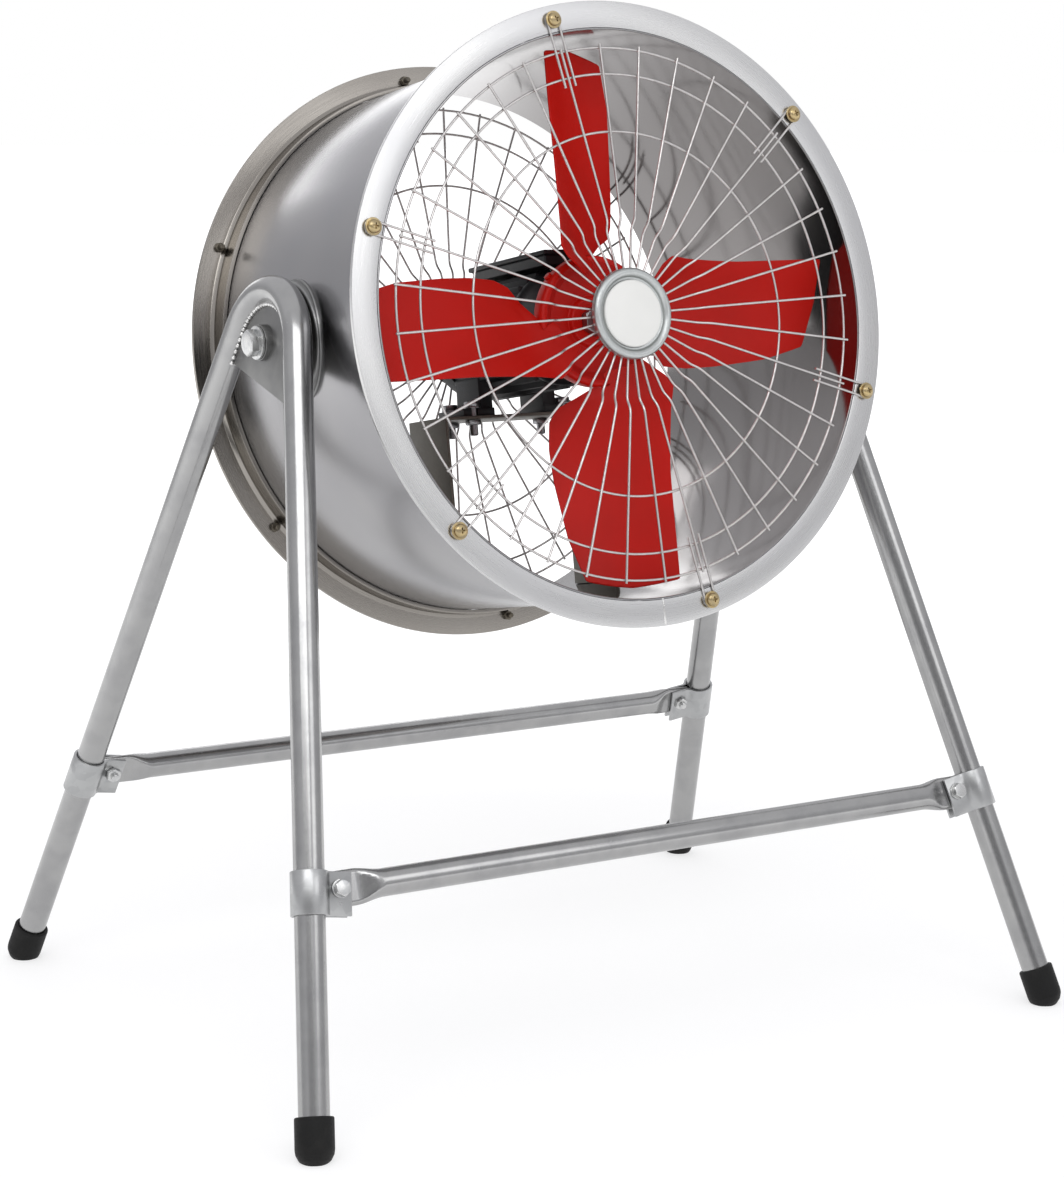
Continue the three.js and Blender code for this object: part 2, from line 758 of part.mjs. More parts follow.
// Plate filling the top of the frame, with a short sleeve that squares up the pivot.
function gusset(side) {
  const steps = bend_steps;
  const facet = (Math.PI - 2 * leg_slope) / steps;
  const inner = (bend_radius - leg_radius) * Math.cos(facet / 2) - gap;
  const corners = [];
  const edge = (leg_radius + gap) / Math.cos(leg_slope);
  corners.push([leg_y(slant_height - gusset_front_drop) - edge, -gusset_front_drop]);
  for (let i = 0; i <= steps; i += 1) {
    const a = leg_slope + (i / steps) * (Math.PI - 2 * leg_slope);
    corners.push([inner * Math.cos(a), bend_centre - slant_height + inner * Math.sin(a)]);
  }
  corners.push([-(leg_y(slant_height - gusset_back_drop) - edge), -gusset_back_drop]);
  const plate = prism(corners, 4);
  plate.translate(0, 0, -2);
  // shape x -> world y, shape y -> up the lean, depth -> outwards
  const up = new THREE.Vector3(-side * Math.sin(lean), 0, Math.cos(lean));
  const out = new THREE.Vector3(side * Math.cos(lean), 0, Math.sin(lean));
  const matrix = new THREE.Matrix4().makeBasis(along_y, up, out);
  matrix.setPosition(side * pivot_plane, 0, pivot_height);
  plate.applyMatrix4(matrix);
  const sleeve = place_outwards(turned([[0, sleeve_in], [sleeve_radius, sleeve_in],
    [sleeve_radius, sleeve_out], [0, sleeve_out]], 20), side);
  sleeve.translate(0, 0, pivot_height);
  const bore = place_outwards(turned([[0, sleeve_in - 9], [pivot_bolt_radius + gap, sleeve_in - 9],
    [pivot_bolt_radius + gap, sleeve_out + 9], [0, sleeve_out + 9]], 12), side);
  bore.translate(0, 0, pivot_height);
  return cut(join([plate, sleeve]), [bore]);
}

// Disc on the duct's side with a tapped boss in the middle, hollowed to sit on the duct.
function pivot_pad(side) {
  const disc = place_outwards(turned([[0, duct_radius - 30], [pad_radius, duct_radius - 30],
    [pad_radius, pad_face - 1], [pad_radius - 1.5, pad_face], [24, pad_face], [20, boss_face],
    [0, boss_face]], 32), side);
  const duct = turned([[0, -90], [ring_inner, -90], [ring_inner, 90], [0, 90]], duct_facets);
  const tap = place_outwards(turned([[0, duct_radius - 9], [pivot_bolt_radius + gap,
    duct_radius - 9], [pivot_bolt_radius + gap, boss_face + 9], [0, boss_face + 9]], 12), side);
  return cut(disc, [duct, tap]);
}

for (const side of [-1, 1]) {
  const name = side_name(side);
  add(`side_frame_${name}`, side_frame(side), 'tube');
  add(`gusset_${name}`, gusset(side), 'tube');
  add_drum(`pivot_pad_${name}`, pivot_pad(side), 'galvanised');
  const spacer = turned([[pivot_bolt_radius + gap, boss_face + gap], [18, boss_face + gap],
    [18, boss_face + gap + spacer_thickness], [pivot_bolt_radius + gap,
      boss_face + gap + spacer_thickness]], 16, true);
  add_drum(`pivot_spacer_${name}`, place_outwards(spacer, side), 'nylon');
  const screw = bolt(21, 9, 15, 2.5, pivot_bolt_radius, sleeve_out - ring_inner - 1);
  aim(screw, new THREE.Vector3(side, 0, 0), new THREE.Vector3(side * (sleeve_out + gap), 0,
    pivot_height));
  add(`pivot_bolt_${name}`, screw, 'zinc');
}

// Directions at one leg: up the tube, towards the crossbar, and through the clamp's ears.
function leg_axes(side, end) {
  const low = new THREE.Vector3(side * foot_half_width, end * foot_half_depth, 0);
  const high = new THREE.Vector3(side * pivot_plane, end * leg_half_depth, pivot_height);
  const up = high.clone().sub(low).normalize();
  const inwards = new THREE.Vector3(-side, 0, 0);
  inwards.addScaledVector(up, -inwards.dot(up)).normalize();
  const through = new THREE.Vector3(0, end * up.z, -end * up.y).normalize();
  return { low, up, inwards, through };
}

function crossbar_end(side, end) {
  const { low, up } = leg_axes(side, end);
  return low.clone().addScaledVector(up, crossbar_height / up.z);
}

const lug_half = 3;
const ear_reach = 36;
const bolt_reach = 26;
const band_steps = 12;
const band_inner = (leg_radius + gap) / Math.cos(Math.PI / band_steps);
const band_outer = band_inner + clamp_sheet;

function clamp(side, end) {
  const corners = [];
  const ear_in = lug_half + gap;
  const ear_out = ear_in + clamp_sheet;
  const inner = band_inner;
  const steps = band_steps;
  const a_in = Math.asin(ear_in / inner);
  const a_out = Math.asin(ear_out / band_outer);
  corners.push([ear_reach, ear_in]);
  corners.push([ear_reach, ear_out]);
  for (let i = 0; i <= steps; i += 1) {
    const a = a_out + (i / steps) * 2 * (Math.PI - a_out);
    corners.push([band_outer * Math.cos(a), band_outer * Math.sin(a)]);
  }
  corners.push([ear_reach, -ear_out]);
  corners.push([ear_reach, -ear_in]);
  for (let i = 0; i <= steps; i += 1) {
    const a = 2 * Math.PI - a_in - (i / steps) * 2 * (Math.PI - a_in);
    corners.push([inner * Math.cos(a), inner * Math.sin(a)]);
  }
  const band = prism(corners, clamp_height);
  band.translate(0, 0, -clamp_height / 2);
  const { up, inwards } = leg_axes(side, end);
  const y = new THREE.Vector3().crossVectors(up, inwards);
  band.applyMatrix4(new THREE.Matrix4().makeBasis(inwards, y, up));
  const at = crossbar_end(side, end);
  band.translate(at.x, at.y, at.z);
  return cut(band, [clamp_hole(side, end)]);
}

function clamp_bolt_point(side, end) {
  return crossbar_end(side, end).add(new THREE.Vector3(-side * bolt_reach, 0, 0));
}

function clamp_hole(side, end) {
  const { through } = leg_axes(side, end);
  const hole = turned([[0, -20], [4.4, -20], [4.4, 20], [0, 20]], 8);
  return aim(hole, through, clamp_bolt_point(side, end));
}

// Round tube pressed flat at both ends, where it goes between the clamp's ears.
function crossbar(end) {
  const { through } = leg_axes(-1, end);
  const tall = new THREE.Vector3().crossVectors(along_x, through);
  const reach = crossbar_end(1, end).x;
  const stations = [];
  const flat = crossbar_flat_height / 2;
  for (const [back, thin, high] of [[band_outer + 1.5, lug_half, flat], [ear_reach + 6, lug_half, flat],
    [ear_reach + 14, (lug_half + crossbar_radius) / 2, (flat + crossbar_radius) / 2],
    [ear_reach + 24, crossbar_radius, crossbar_radius]]) {
    stations.push([-(reach - back), thin, high]);
  }
  for (const [x, thin, high] of stations.slice().reverse()) {
    stations.push([-x, thin, high]);
  }
  const middle = crossbar_end(1, end);
  const sides = 14;
  const rings = stations.map(([x, thin, high]) => {
    const ring = [];
    for (let j = 0; j < sides; j += 1) {
      const a = ((j + 0.5) / sides) * 2 * Math.PI;
      const squeeze = thin < 5 ? Math.sign(Math.cos(a)) * Math.min(1, Math.abs(Math.cos(a)) * 2.2)
        : Math.cos(a);
      const p = new THREE.Vector3(x, middle.y, middle.z);
      p.addScaledVector(through, thin * squeeze);
      p.addScaledVector(tall, high * Math.sin(a));
      ring.push(p);
    }
    return ring;
  });
  return cut(skin(rings), [clamp_hole(-1, end), clamp_hole(1, end)]);
}

// Moulded cap on the leg's end, worn flat where it stands on the floor.
function foot(side, end) {
  const { low, up } = leg_axes(side, end);
  const cup = turned([[0, -4], [8, -3], [13, 1], [foot_radius - 0.6, 6], [foot_radius, 10],
    [foot_radius, foot_height - 1], [foot_radius - 0.8, foot_height],
    [leg_radius + gap, foot_height], [leg_radius + gap, cup_floor], [0, cup_floor]], 16);
  aim(cup, up, low);
  return cut(cup, [box(low.x - 60, low.x + 60, low.y - 60, low.y + 60, -60, 0)]);
}

for (const end of [-1, 1]) {
  add(`crossbar_${end < 0 ? 'front' : 'back'}`, crossbar(end), 'tube');
  for (const side of [-1, 1]) {
    const name = `${end < 0 ? 'front' : 'back'}_${side_name(side)}`;
    add(`clamp_${name}`, clamp(side, end), 'galvanised');
    const { through } = leg_axes(side, end);
    const ear_face = lug_half + gap + clamp_sheet + gap;
    const piece = bolt(13, 5, 8, 1.5, 4, 2 * ear_face + 9, 2 * ear_face);
    const at = clamp_bolt_point(side, end).addScaledVector(through, ear_face);
    add(`clamp_bolt_${name}`, aim(piece, through, at), 'zinc');
    add(`foot_${name}`, foot(side, end), 'rubber');
  }
}

export default group;
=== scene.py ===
# Drum fan on a tubular stand, dressed for a studio picture.
# Metres, +Z up, floor at Z = 0. The drum's pieces are modelled upright in the drum's own
# frame, with the air axis along Y, and are then tipped back and lifted to the pivots.
import json
import math

import bmesh
import bpy
from mathutils import Matrix, Vector


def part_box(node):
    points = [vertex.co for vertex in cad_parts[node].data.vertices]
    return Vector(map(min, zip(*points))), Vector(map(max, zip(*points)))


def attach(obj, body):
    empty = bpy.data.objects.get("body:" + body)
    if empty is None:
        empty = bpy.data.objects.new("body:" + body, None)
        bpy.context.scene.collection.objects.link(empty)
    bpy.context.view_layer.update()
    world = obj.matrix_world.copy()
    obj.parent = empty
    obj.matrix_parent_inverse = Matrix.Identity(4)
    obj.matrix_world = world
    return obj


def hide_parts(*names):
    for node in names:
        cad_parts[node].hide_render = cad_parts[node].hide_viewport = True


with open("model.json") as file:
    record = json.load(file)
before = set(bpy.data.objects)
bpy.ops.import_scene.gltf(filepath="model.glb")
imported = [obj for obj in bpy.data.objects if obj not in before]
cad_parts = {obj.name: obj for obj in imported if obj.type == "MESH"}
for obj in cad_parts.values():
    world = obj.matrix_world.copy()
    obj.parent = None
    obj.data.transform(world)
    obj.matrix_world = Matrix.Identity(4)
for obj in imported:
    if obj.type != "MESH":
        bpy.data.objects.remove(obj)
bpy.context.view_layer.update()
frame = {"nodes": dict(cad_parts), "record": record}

MM = 0.001
TURN = 2 * math.pi
BODY_OF = {node: body for body, nodes in frame["record"]["behaviour"]["bodies"].items()
           for node in nodes}

# ---- sizes shared by several pieces, in millimetres ----------------------------------

TILT = math.radians(11)
PIVOT_HEIGHT = 630
DRUM = Matrix.Translation((0, 0, PIVOT_HEIGHT * MM)) @ Matrix.Rotation(-TILT, 4, "X")

HALF = 160                  # half the duct's length
DUCT_INSIDE = 254
DUCT_OUTSIDE = 255.8
FLANGE_INSIDE = 256.1
FLANGE_OUTSIDE = 280
FLANGE_THICKNESS = 4
FLANGE_FILLET = 3
FLANGE_DEPTH = 26           # of the leg that lies along the duct
SCREW_CIRCLE = 267
SCREWS = 6                  # of each guard
FRONT_SCREWS = -12.6        # degrees clockwise from the top, seen from the front
REAR_SCREWS = -7
SEAM = 178.3                # where each ring is butt welded
SPOKES = 36
WIRE = 1.1                  # radius
GUARD_PLANE = 161.7         # middle of the spokes
GUARD_STEP = 6              # how far the spokes' inner ends are set back
RINGS = (163, 214.5, 238)
HAIRPIN_HALF = 5.5
HUB_FRONT = -104
HUB_BOLTS = 43.5            # degrees to the first of the four bolts in the hub's rim
BRACKET_BACK = 106.3
BRACKET_DEPTH = 70
BRACKET_SHEET = 3
PLATE_TOP = -72.3           # of the bridge under the motor
MOTOR_FOOT = 7              # thickness of the motor's cast feet
GAP = 0.3                   # between pieces that touch
PAD_RADIUS = 54

PIVOT_PLANE = 282
FOOT_HALF_WIDTH = 393
FOOT_HALF_DEPTH = 313
LEG_HALF_DEPTH = 60
LEG_RADIUS = 13
LEG_END = 12                # of the tube, above the floor
BEND_RADIUS = 61
GUSSET_FRONT = 24           # lower edge of the gusset below the pivot
GUSSET_BACK = 52
CROSSBAR_HEIGHT = 198
CROSSBAR_RADIUS = 12
CLAMP_HEIGHT = 37
CLAMP_BOLT = 26             # from the leg's axis to the bolt
LEAN = math.atan2(FOOT_HALF_WIDTH - PIVOT_PLANE, PIVOT_HEIGHT)
SLANT_HEIGHT = PIVOT_HEIGHT / math.cos(LEAN)
LEG_SLOPE = math.atan2(FOOT_HALF_DEPTH - LEG_HALF_DEPTH, SLANT_HEIGHT)
BEND_CENTRE = (SLANT_HEIGHT + LEG_HALF_DEPTH / math.tan(LEG_SLOPE)
               - BEND_RADIUS / math.sin(LEG_SLOPE))


# ---- modelling by hand ---------------------------------------------------------------

def nothing_selected():
    if bpy.context.object and bpy.context.object.mode != "OBJECT":
        bpy.ops.object.mode_set(mode="OBJECT")
    bpy.ops.object.select_all(action="DESELECT")


def only(piece):
    nothing_selected()
    piece.select_set(True)
    bpy.context.view_layer.objects.active = piece
    return piece


def edit(piece):
    only(piece)
    bpy.ops.object.mode_set(mode="EDIT")
    bpy.ops.mesh.select_all(action="SELECT")


def done():
    bpy.ops.object.mode_set(mode="OBJECT")
    return bpy.context.object


def named(name):
    piece = bpy.context.object
    piece.name = name
    piece.data.name = name
    return piece


def smooth(piece, degrees=32):
    only(piece)
    bpy.ops.object.shade_smooth_by_angle(angle=math.radians(degrees))
    return piece


def use(piece, kind, **settings):
    """Adds a modifier with these settings and applies it."""
    only(piece)
    modifier = piece.modifiers.new(kind.title(), kind)
    for key, value in settings.items():
        setattr(modifier, key, value)
    bpy.ops.object.modifier_apply(modifier=modifier.name)
    return piece


def softened(piece, width, segments=2, degrees=38):
    """Breaks the piece's sharp edges."""
    use(piece, "BEVEL", width=width * MM, segments=segments, limit_method="ANGLE",
        angle_limit=math.radians(degrees), use_clamp_overlap=True)
    return smooth(piece, 40)


def moved(piece, matrix):
    """Puts the piece in place and leaves its object at the origin."""
    only(piece)
    piece.matrix_world = matrix @ piece.matrix_world
    bpy.ops.object.transform_apply(location=True, rotation=True, scale=True)
    return piece


def facing(direction, axis="Z"):
    """The turn that lays an axis along a direction."""
    return Vector(direction).to_track_quat(axis, "Y").to_matrix().to_4x4()


def pointing(direction, at):
    """A place whose Z axis runs along a direction; at is in millimetres."""
    return Matrix.Translation(Vector(at) * MM) @ facing(direction)


def joined(name, pieces):
    only(pieces[0])
    for piece in pieces:
        piece.select_set(True)
    bpy.ops.object.join()
    return named(name)


def copied(piece, name, matrix):
    only(piece)
    bpy.ops.object.duplicate(linked=False)
    twin = named(name)
    return moved(twin, matrix)


def string(name, points):
    """Edges from point to point, in millimetres."""
    nothing_selected()
    bpy.ops.mesh.primitive_plane_add(size=MM)
    piece = named(name)
    bpy.ops.object.mode_set(mode="EDIT")
    bpy.ops.mesh.merge(type="CENTER")
    bpy.ops.transform.translate(value=Vector(points[0]) * MM)
    for here, there in zip(points, points[1:]):
        step = (Vector(there) - Vector(here)) * MM
        bpy.ops.mesh.extrude_vertices_move(TRANSFORM_OT_translate={"value": step})
    bpy.ops.mesh.select_all(action="SELECT")
    bpy.ops.mesh.remove_doubles(threshold=MM / 500)
    bpy.ops.object.mode_set(mode="OBJECT")
    return piece


def rounded(corners, radius, steps=3, closed=False):
    """The same corners, each turned into a small arc."""
    corners = [Vector(corner) for corner in corners]
    points = []
    for i, corner in enumerate(corners):
        if not closed and i in (0, len(corners) - 1):
            points.append(corner)
            continue
        back = corners[i - 1] - corner
        ahead = corners[(i + 1) % len(corners)] - corner
        reach = min(radius, back.length * 0.45, ahead.length * 0.45)
        start = corner + back.normalized() * reach
        end = corner + ahead.normalized() * reach
        for k in range(steps + 1):
            t = k / steps
            points.append(start * (1 - t) ** 2 + corner * 2 * t * (1 - t) + end * t * t)
    return points


def turned(name, profile, steps=96, axis="Y", radius=0, closed=False):
    """A turned piece from (radius, height) pairs; a closed profile makes a ring."""
    corners = [Vector((r, h)) for r, h in profile]
    if radius:
        corners = rounded(corners, radius, 3, closed)
    if closed:
        corners.append(corners[0])
    if axis == "Y":
        points = [Vector((0, h, r)) for r, h in corners]
    else:
        points = [Vector((r, 0, h)) for r, h in corners]
    piece = string(name, points)
    edit(piece)
    bpy.ops.mesh.spin(steps=steps, angle=TURN, center=(0, 0, 0),
                      axis=(0, 1, 0) if axis == "Y" else (0, 0, 1))
    bpy.ops.mesh.select_all(action="SELECT")
    bpy.ops.mesh.remove_doubles(threshold=MM / 200)
    bpy.ops.mesh.normals_make_consistent(inside=False)
    done()
    return smooth(piece)


def bent_rod(name, points, radius, sides=12, loop=False):
    """A round rod along points, with closed ends."""
    piece = string(name, list(points) + ([points[0]] if loop else []))
    only(piece)
    bpy.ops.object.convert(target="CURVE")
    piece = bpy.context.object
    piece.data.bevel_depth = radius * MM
    piece.data.bevel_resolution = (sides - 4) // 2
    piece.data.use_fill_caps = not loop
    bpy.ops.object.convert(target="MESH")
    piece = named(name)
    edit(piece)
    bpy.ops.mesh.remove_doubles(threshold=MM / 500)
    bpy.ops.mesh.normals_make_consistent(inside=False)
    done()
    return smooth(piece, 50)


def slab(name, corners, thickness, bottom=0.0):
    """A plate cut to an outline in the XY plane, with its edges broken."""
    piece = string(name, [Vector((x, y, bottom)) for x, y in corners]
                   + [Vector((*corners[0], bottom))])
    edit(piece)
    bpy.ops.mesh.edge_face_add()
    bpy.ops.mesh.extrude_region_move(TRANSFORM_OT_translate={"value": (0, 0, thickness * MM)})
    bpy.ops.mesh.select_all(action="SELECT")
    bpy.ops.mesh.normals_make_consistent(inside=False)
    done()
    return softened(piece, 0.5)


def cut_by(piece, cutter, operation="DIFFERENCE"):
    use(piece, "BOOLEAN", operation=operation, object=cutter, solver="EXACT")
    bpy.data.objects.remove(cutter)
    return piece


def repeated_round(piece, count):
    """Copies of the piece's own mesh all round the air axis."""
    edit(piece)
    bpy.ops.mesh.spin(steps=count - 1, dupli=True, angle=TURN * (1 - 1 / count), center=(0, 0, 0),
                      axis=(0, 1, 0))
    return done()


def node_copy(node, name, edge=0.0, segments=2):
    """A node's own shape as a new piece, its triangles merged and its edges broken."""
    source = frame["nodes"][node]
    piece = bpy.data.objects.new(name, source.data.copy())
    bpy.context.scene.collection.objects.link(piece)
    piece.data.materials.clear()
    edit(piece)
    bpy.ops.mesh.customdata_custom_splitnormals_clear()
    bpy.ops.mesh.remove_doubles(threshold=MM / 100)
    bpy.ops.mesh.dissolve_limited(angle_limit=math.radians(1))
    done()
    if edge:
        softened(piece, edge, segments, 30)
    return smooth(piece, 40)


def round_the_drum(radius, degrees, y):
    """A point in the drum's frame, by its angle clockwise from the top seen from the front."""
    a = math.radians(degrees)
    return Vector((radius * math.sin(a), y, radius * math.cos(a)))


def hexagon(name, across_flats, height):
    """A hexagon head on the XY plane with its top corners chamfered."""
    corner = across_flats / math.sqrt(3)
    nothing_selected()
    bpy.ops.mesh.primitive_cylinder_add(vertices=6, radius=corner * MM, depth=height * MM,
                                        location=(0, 0, height * MM / 2))
    piece = named(name)
    crown = across_flats / 2 * 0.94
    wide = corner + 1
    cap = turned("cap", [(0, -1), (wide, -1), (wide, height - (wide - crown) * 0.5),
                         (crown, height), (0, height)], 48, "Z")
    cut_by(piece, cap, "INTERSECT")
    return softened(piece, 0.25, 1, 25)


def bolt(name, flats, head, washer_radius, washer, shank, length, nut_at=0):
    """Head, washer, shank and nut about the Z axis, the washer's underside at zero."""
    pieces = [hexagon(name, flats, head)]
    moved(pieces[0], Matrix.Translation((0, 0, washer * MM)))
    pieces.append(turned("washer", [(0, 0), (washer_radius, 0), (washer_radius, washer),
                                    (0, washer)], 40, "Z", 0.4))
    pieces.append(turned("shank", [(0, 0.2), (shank, 0.2), (shank, -length + 1),
                                   (shank - 1, -length), (0, -length)], 24, "Z"))
    if nut_at:
        pieces.append(copied(pieces[0], "nut", Matrix.Translation((0, 0, -nut_at * MM))
                             @ Matrix.Rotation(math.pi, 4, "X")
                             @ Matrix.Translation((0, 0, -washer * MM))))
    return joined(name, pieces)


# ---- finishes ------------------------------------------------------------------------

class Finish:
    """A material built up node by node on the piece's Object coordinates."""

    def __init__(self, name, colour, roughness, metallic=0.0, on_drum=False, **sockets):
        self.material = bpy.data.materials.new(name)
        self.material.use_nodes = True
        self.nodes = self.material.node_tree.nodes
        self.links = self.material.node_tree.links
        self.shader = self.nodes["Principled BSDF"]
        self.shader.inputs["Base Color"].default_value = (*colour, 1)
        self.shader.inputs["Roughness"].default_value = roughness
        self.shader.inputs["Metallic"].default_value = metallic
        for socket, value in sockets.items():
            self.shader.inputs[socket.replace("_", " ")].default_value = value
        self.place = self.nodes.new("ShaderNodeTexCoord").outputs["Object"]
        if on_drum:
            upright = self.nodes.new("ShaderNodeMapping")
            upright.vector_type = "POINT"
            back = DRUM.inverted()
            upright.inputs["Location"].default_value = back.translation
            upright.inputs["Rotation"].default_value = back.to_euler()
            self.links.new(self.place, upright.inputs["Vector"])
            self.place = upright.outputs["Vector"]

    def sum(self, kind, a, b=0.0):
        node = self.nodes.new("ShaderNodeMath")
        node.operation = kind
        for socket, value in zip(node.inputs, (a, b)):
            if hasattr(value, "is_linked"):
                self.links.new(value, socket)
            else:
                socket.default_value = value
        return node.outputs[0]

    def stretched(self, scale, place=None):
        node = self.nodes.new("ShaderNodeMapping")
        node.inputs["Scale"].default_value = scale
        self.links.new(place or self.place, node.inputs["Vector"])
        return node.outputs["Vector"]

    def rolled(self):
        """Arc length round the duct, distance along it and radius."""
        split = self.nodes.new("ShaderNodeSeparateXYZ")
        self.links.new(self.place, split.inputs[0])
        angle = self.sum("ARCTAN2", split.outputs[0], split.outputs[2])
        around = self.sum("MULTIPLY", angle, DUCT_INSIDE * MM)
        radius = self.sum("SQRT", self.sum("ADD", self.sum("POWER", split.outputs[0], 2),
                                           self.sum("POWER", split.outputs[2], 2)))
        joint = self.nodes.new("ShaderNodeCombineXYZ")
        for socket, value in zip(joint.inputs, (around, split.outputs[1], radius)):
            self.links.new(value, socket)
        return joint.outputs[0]

    def noise(self, scale, detail=3.0, place=None, roughness=0.5):
        node = self.nodes.new("ShaderNodeTexNoise")
        node.inputs["Scale"].default_value = scale
        node.inputs["Detail"].default_value = detail
        node.inputs["Roughness"].default_value = roughness
        self.links.new(place or self.place, node.inputs["Vector"])
        return node.outputs[0]

    def cells(self, scale):
        node = self.nodes.new("ShaderNodeTexVoronoi")
        node.inputs["Scale"].default_value = scale
        self.links.new(self.place, node.inputs["Vector"])
        return node.outputs["Color"]

    def between(self, value, low, high, start=0.3, end=0.7):
        node = self.nodes.new("ShaderNodeMapRange")
        for socket, number in zip(("From Min", "From Max", "To Min", "To Max"),
                                  (start, end, low, high)):
            node.inputs[socket].default_value = number
        self.links.new(value, node.inputs["Value"])
        return node.outputs[0]

    def blend(self, share, first, second):
        node = self.nodes.new("ShaderNodeMix")
        node.data_type = "RGBA"
        self.links.new(share, node.inputs[0])
        for socket, colour in ((node.inputs[6], first), (node.inputs[7], second)):
            if hasattr(colour, "is_linked"):
                self.links.new(colour, socket)
            else:
                socket.default_value = (*colour, 1)
        return node.outputs[2]

    def coloured(self, colour):
        self.links.new(colour, self.shader.inputs["Base Color"])

    def roughened(self, value):
        self.links.new(value, self.shader.inputs["Roughness"])

    def dented(self, height, depth, strength=1.0):
        node = self.nodes.new("ShaderNodeBump")
        node.inputs["Strength"].default_value = strength
        node.inputs["Distance"].default_value = depth * MM
        if self.shader.inputs["Normal"].is_linked:
            self.links.new(self.shader.inputs["Normal"].links[0].from_socket, node.inputs["Normal"])
        self.links.new(height, node.inputs["Height"])
        self.links.new(node.outputs["Normal"], self.shader.inputs["Normal"])


def rolled_sheet(name, bright, dull, roughness, spread, painted_inside_shade=None):
    """Bright sheet steel with fine lines from rolling and slight waves; the inside of the duct
    takes a darker colour, which is painted shade, and is glossier.
    """
    finish = Finish(name, bright, roughness, 1.0, on_drum=True)
    rolled = finish.rolled()
    lines = finish.noise(1.0, 4, finish.stretched((25, 1400, 1400), rolled), 0.6)
    clouds = finish.noise(7, 2)
    sheet = finish.blend(finish.between(clouds, 0, 0.7, 0.35, 0.65), bright, dull)
    # Inside the duct the sheet is blended to the darker inside colour: painted shade.
    if painted_inside_shade:
        split = finish.nodes.new("ShaderNodeSeparateXYZ")
        finish.links.new(rolled, split.inputs[0])
        inwards = finish.between(split.outputs[2], 1, 0, (DUCT_INSIDE + 0.5) * MM,
                                 (DUCT_INSIDE + 1.2) * MM)
        sheet = finish.blend(inwards, sheet, painted_inside_shade)
    finish.coloured(sheet)
    grain = finish.sum("ADD", finish.between(lines, roughness - spread, roughness + spread),
                       finish.between(clouds, -0.02, 0.03))
    if painted_inside_shade:
        grain = finish.sum("SUBTRACT", grain, finish.sum("MULTIPLY", inwards, 0.11))
    finish.roughened(grain)
    finish.dented(clouds, 0.25, 0.35)
    finish.dented(lines, 0.02, 0.5)
    return finish.material


def drawn_tube(name, bright, dull, roughness):
    """Welded steel tube, polished along its length, with faint handling marks."""
    finish = Finish(name, bright, roughness, 1.0)
    lines = finish.noise(1.0, 4, finish.stretched((900, 900, 30)), 0.6)
    marks = finish.noise(38, 3)
    finish.coloured(finish.blend(finish.between(marks, 0, 1, 0.4, 0.7), bright, dull))
    finish.roughened(finish.sum("ADD", finish.between(lines, roughness - 0.03, roughness + 0.04),
                                finish.between(marks, -0.01, 0.02)))
    finish.dented(lines, 0.012, 0.25)
    return finish.material


def plated(name, bright, dull, roughness, cell=240.0):
    """Zinc plating or hot-dip zinc with soft spangles."""
    finish = Finish(name, bright, roughness, 1.0)
    spangle = finish.sum("MULTIPLY", finish.cells(cell), 1.0)
    clouds = finish.noise(60, 3)
    share = finish.sum("MULTIPLY", finish.between(spangle, 0, 1, 0, 1),
                       finish.between(clouds, 0.4, 1.0))
    finish.coloured(finish.blend(share, bright, dull))
    finish.roughened(finish.sum("ADD",
                                finish.between(spangle, roughness - 0.05, roughness + 0.08, 0, 1),
                                finish.between(clouds, 0.0, 0.05)))
    finish.dented(clouds, 0.05, 0.4)
    return finish.material


def painted(name, fresh, worn, roughness, grain, depth, metallic=0.0, **sockets):
    """Sprayed paint with orange peel and a little dust."""
    finish = Finish(name, fresh, roughness, metallic, **sockets)
    peel = finish.noise(grain, 2)
    dust = finish.noise(14, 4)
    finish.coloured(finish.blend(finish.between(dust, 0, 1, 0.45, 0.8), fresh, worn))
    finish.roughened(finish.sum("ADD", finish.between(peel, roughness - 0.03, roughness + 0.03),
                                finish.between(dust, 0.0, 0.08)))
    finish.dented(peel, depth, 0.5)
    return finish.material


def moulded(name, colour, dusty, roughness, grain, depth, **sockets):
    """Rubber or nylon with a fine sparked texture."""
    finish = Finish(name, colour, roughness, **sockets)
    spark = finish.noise(grain, 3)
    dust = finish.noise(55, 4)
    finish.coloured(finish.blend(finish.between(dust, 0, 1, 0.5, 0.85), colour, dusty))
    finish.roughened(finish.between(spark, roughness - 0.08, roughness + 0.08))
    finish.dented(spark, depth, 0.5)
    return finish.material


# The duct's darker inside colour is painted shade within the duct.
duct_steel = rolled_sheet("duct_steel", (0.37, 0.365, 0.37), (0.31, 0.31, 0.325), 0.22, 0.03,
                          painted_inside_shade=(0.245, 0.232, 0.228))
# The two flanges are one steel: the front one is lightened as painted light and the rear one
# darkened as painted shade.
front_flange_lit_steel = rolled_sheet("front_flange_lit_steel", (0.64, 0.64, 0.635), (0.58, 0.58, 0.59), 0.28, 0.04)
rear_flange_shaded_steel = rolled_sheet("rear_flange_shaded_steel", (0.32, 0.302, 0.276), (0.27, 0.25, 0.23),
                                 0.25, 0.05)
guard_wire = plated("guard_wire", (0.62, 0.60, 0.59), (0.48, 0.465, 0.46), 0.32, 300.0)
badge_rim = plated("badge_rim", (0.50, 0.52, 0.515), (0.45, 0.47, 0.47), 0.36, 500.0)
badge_enamel = painted("badge_enamel", (0.70, 0.70, 0.68), (0.65, 0.65, 0.63), 0.30, 900, 0.03)
yellow_zinc = plated("yellow_zinc", (0.52, 0.40, 0.20), (0.30, 0.25, 0.17), 0.28, 260.0)
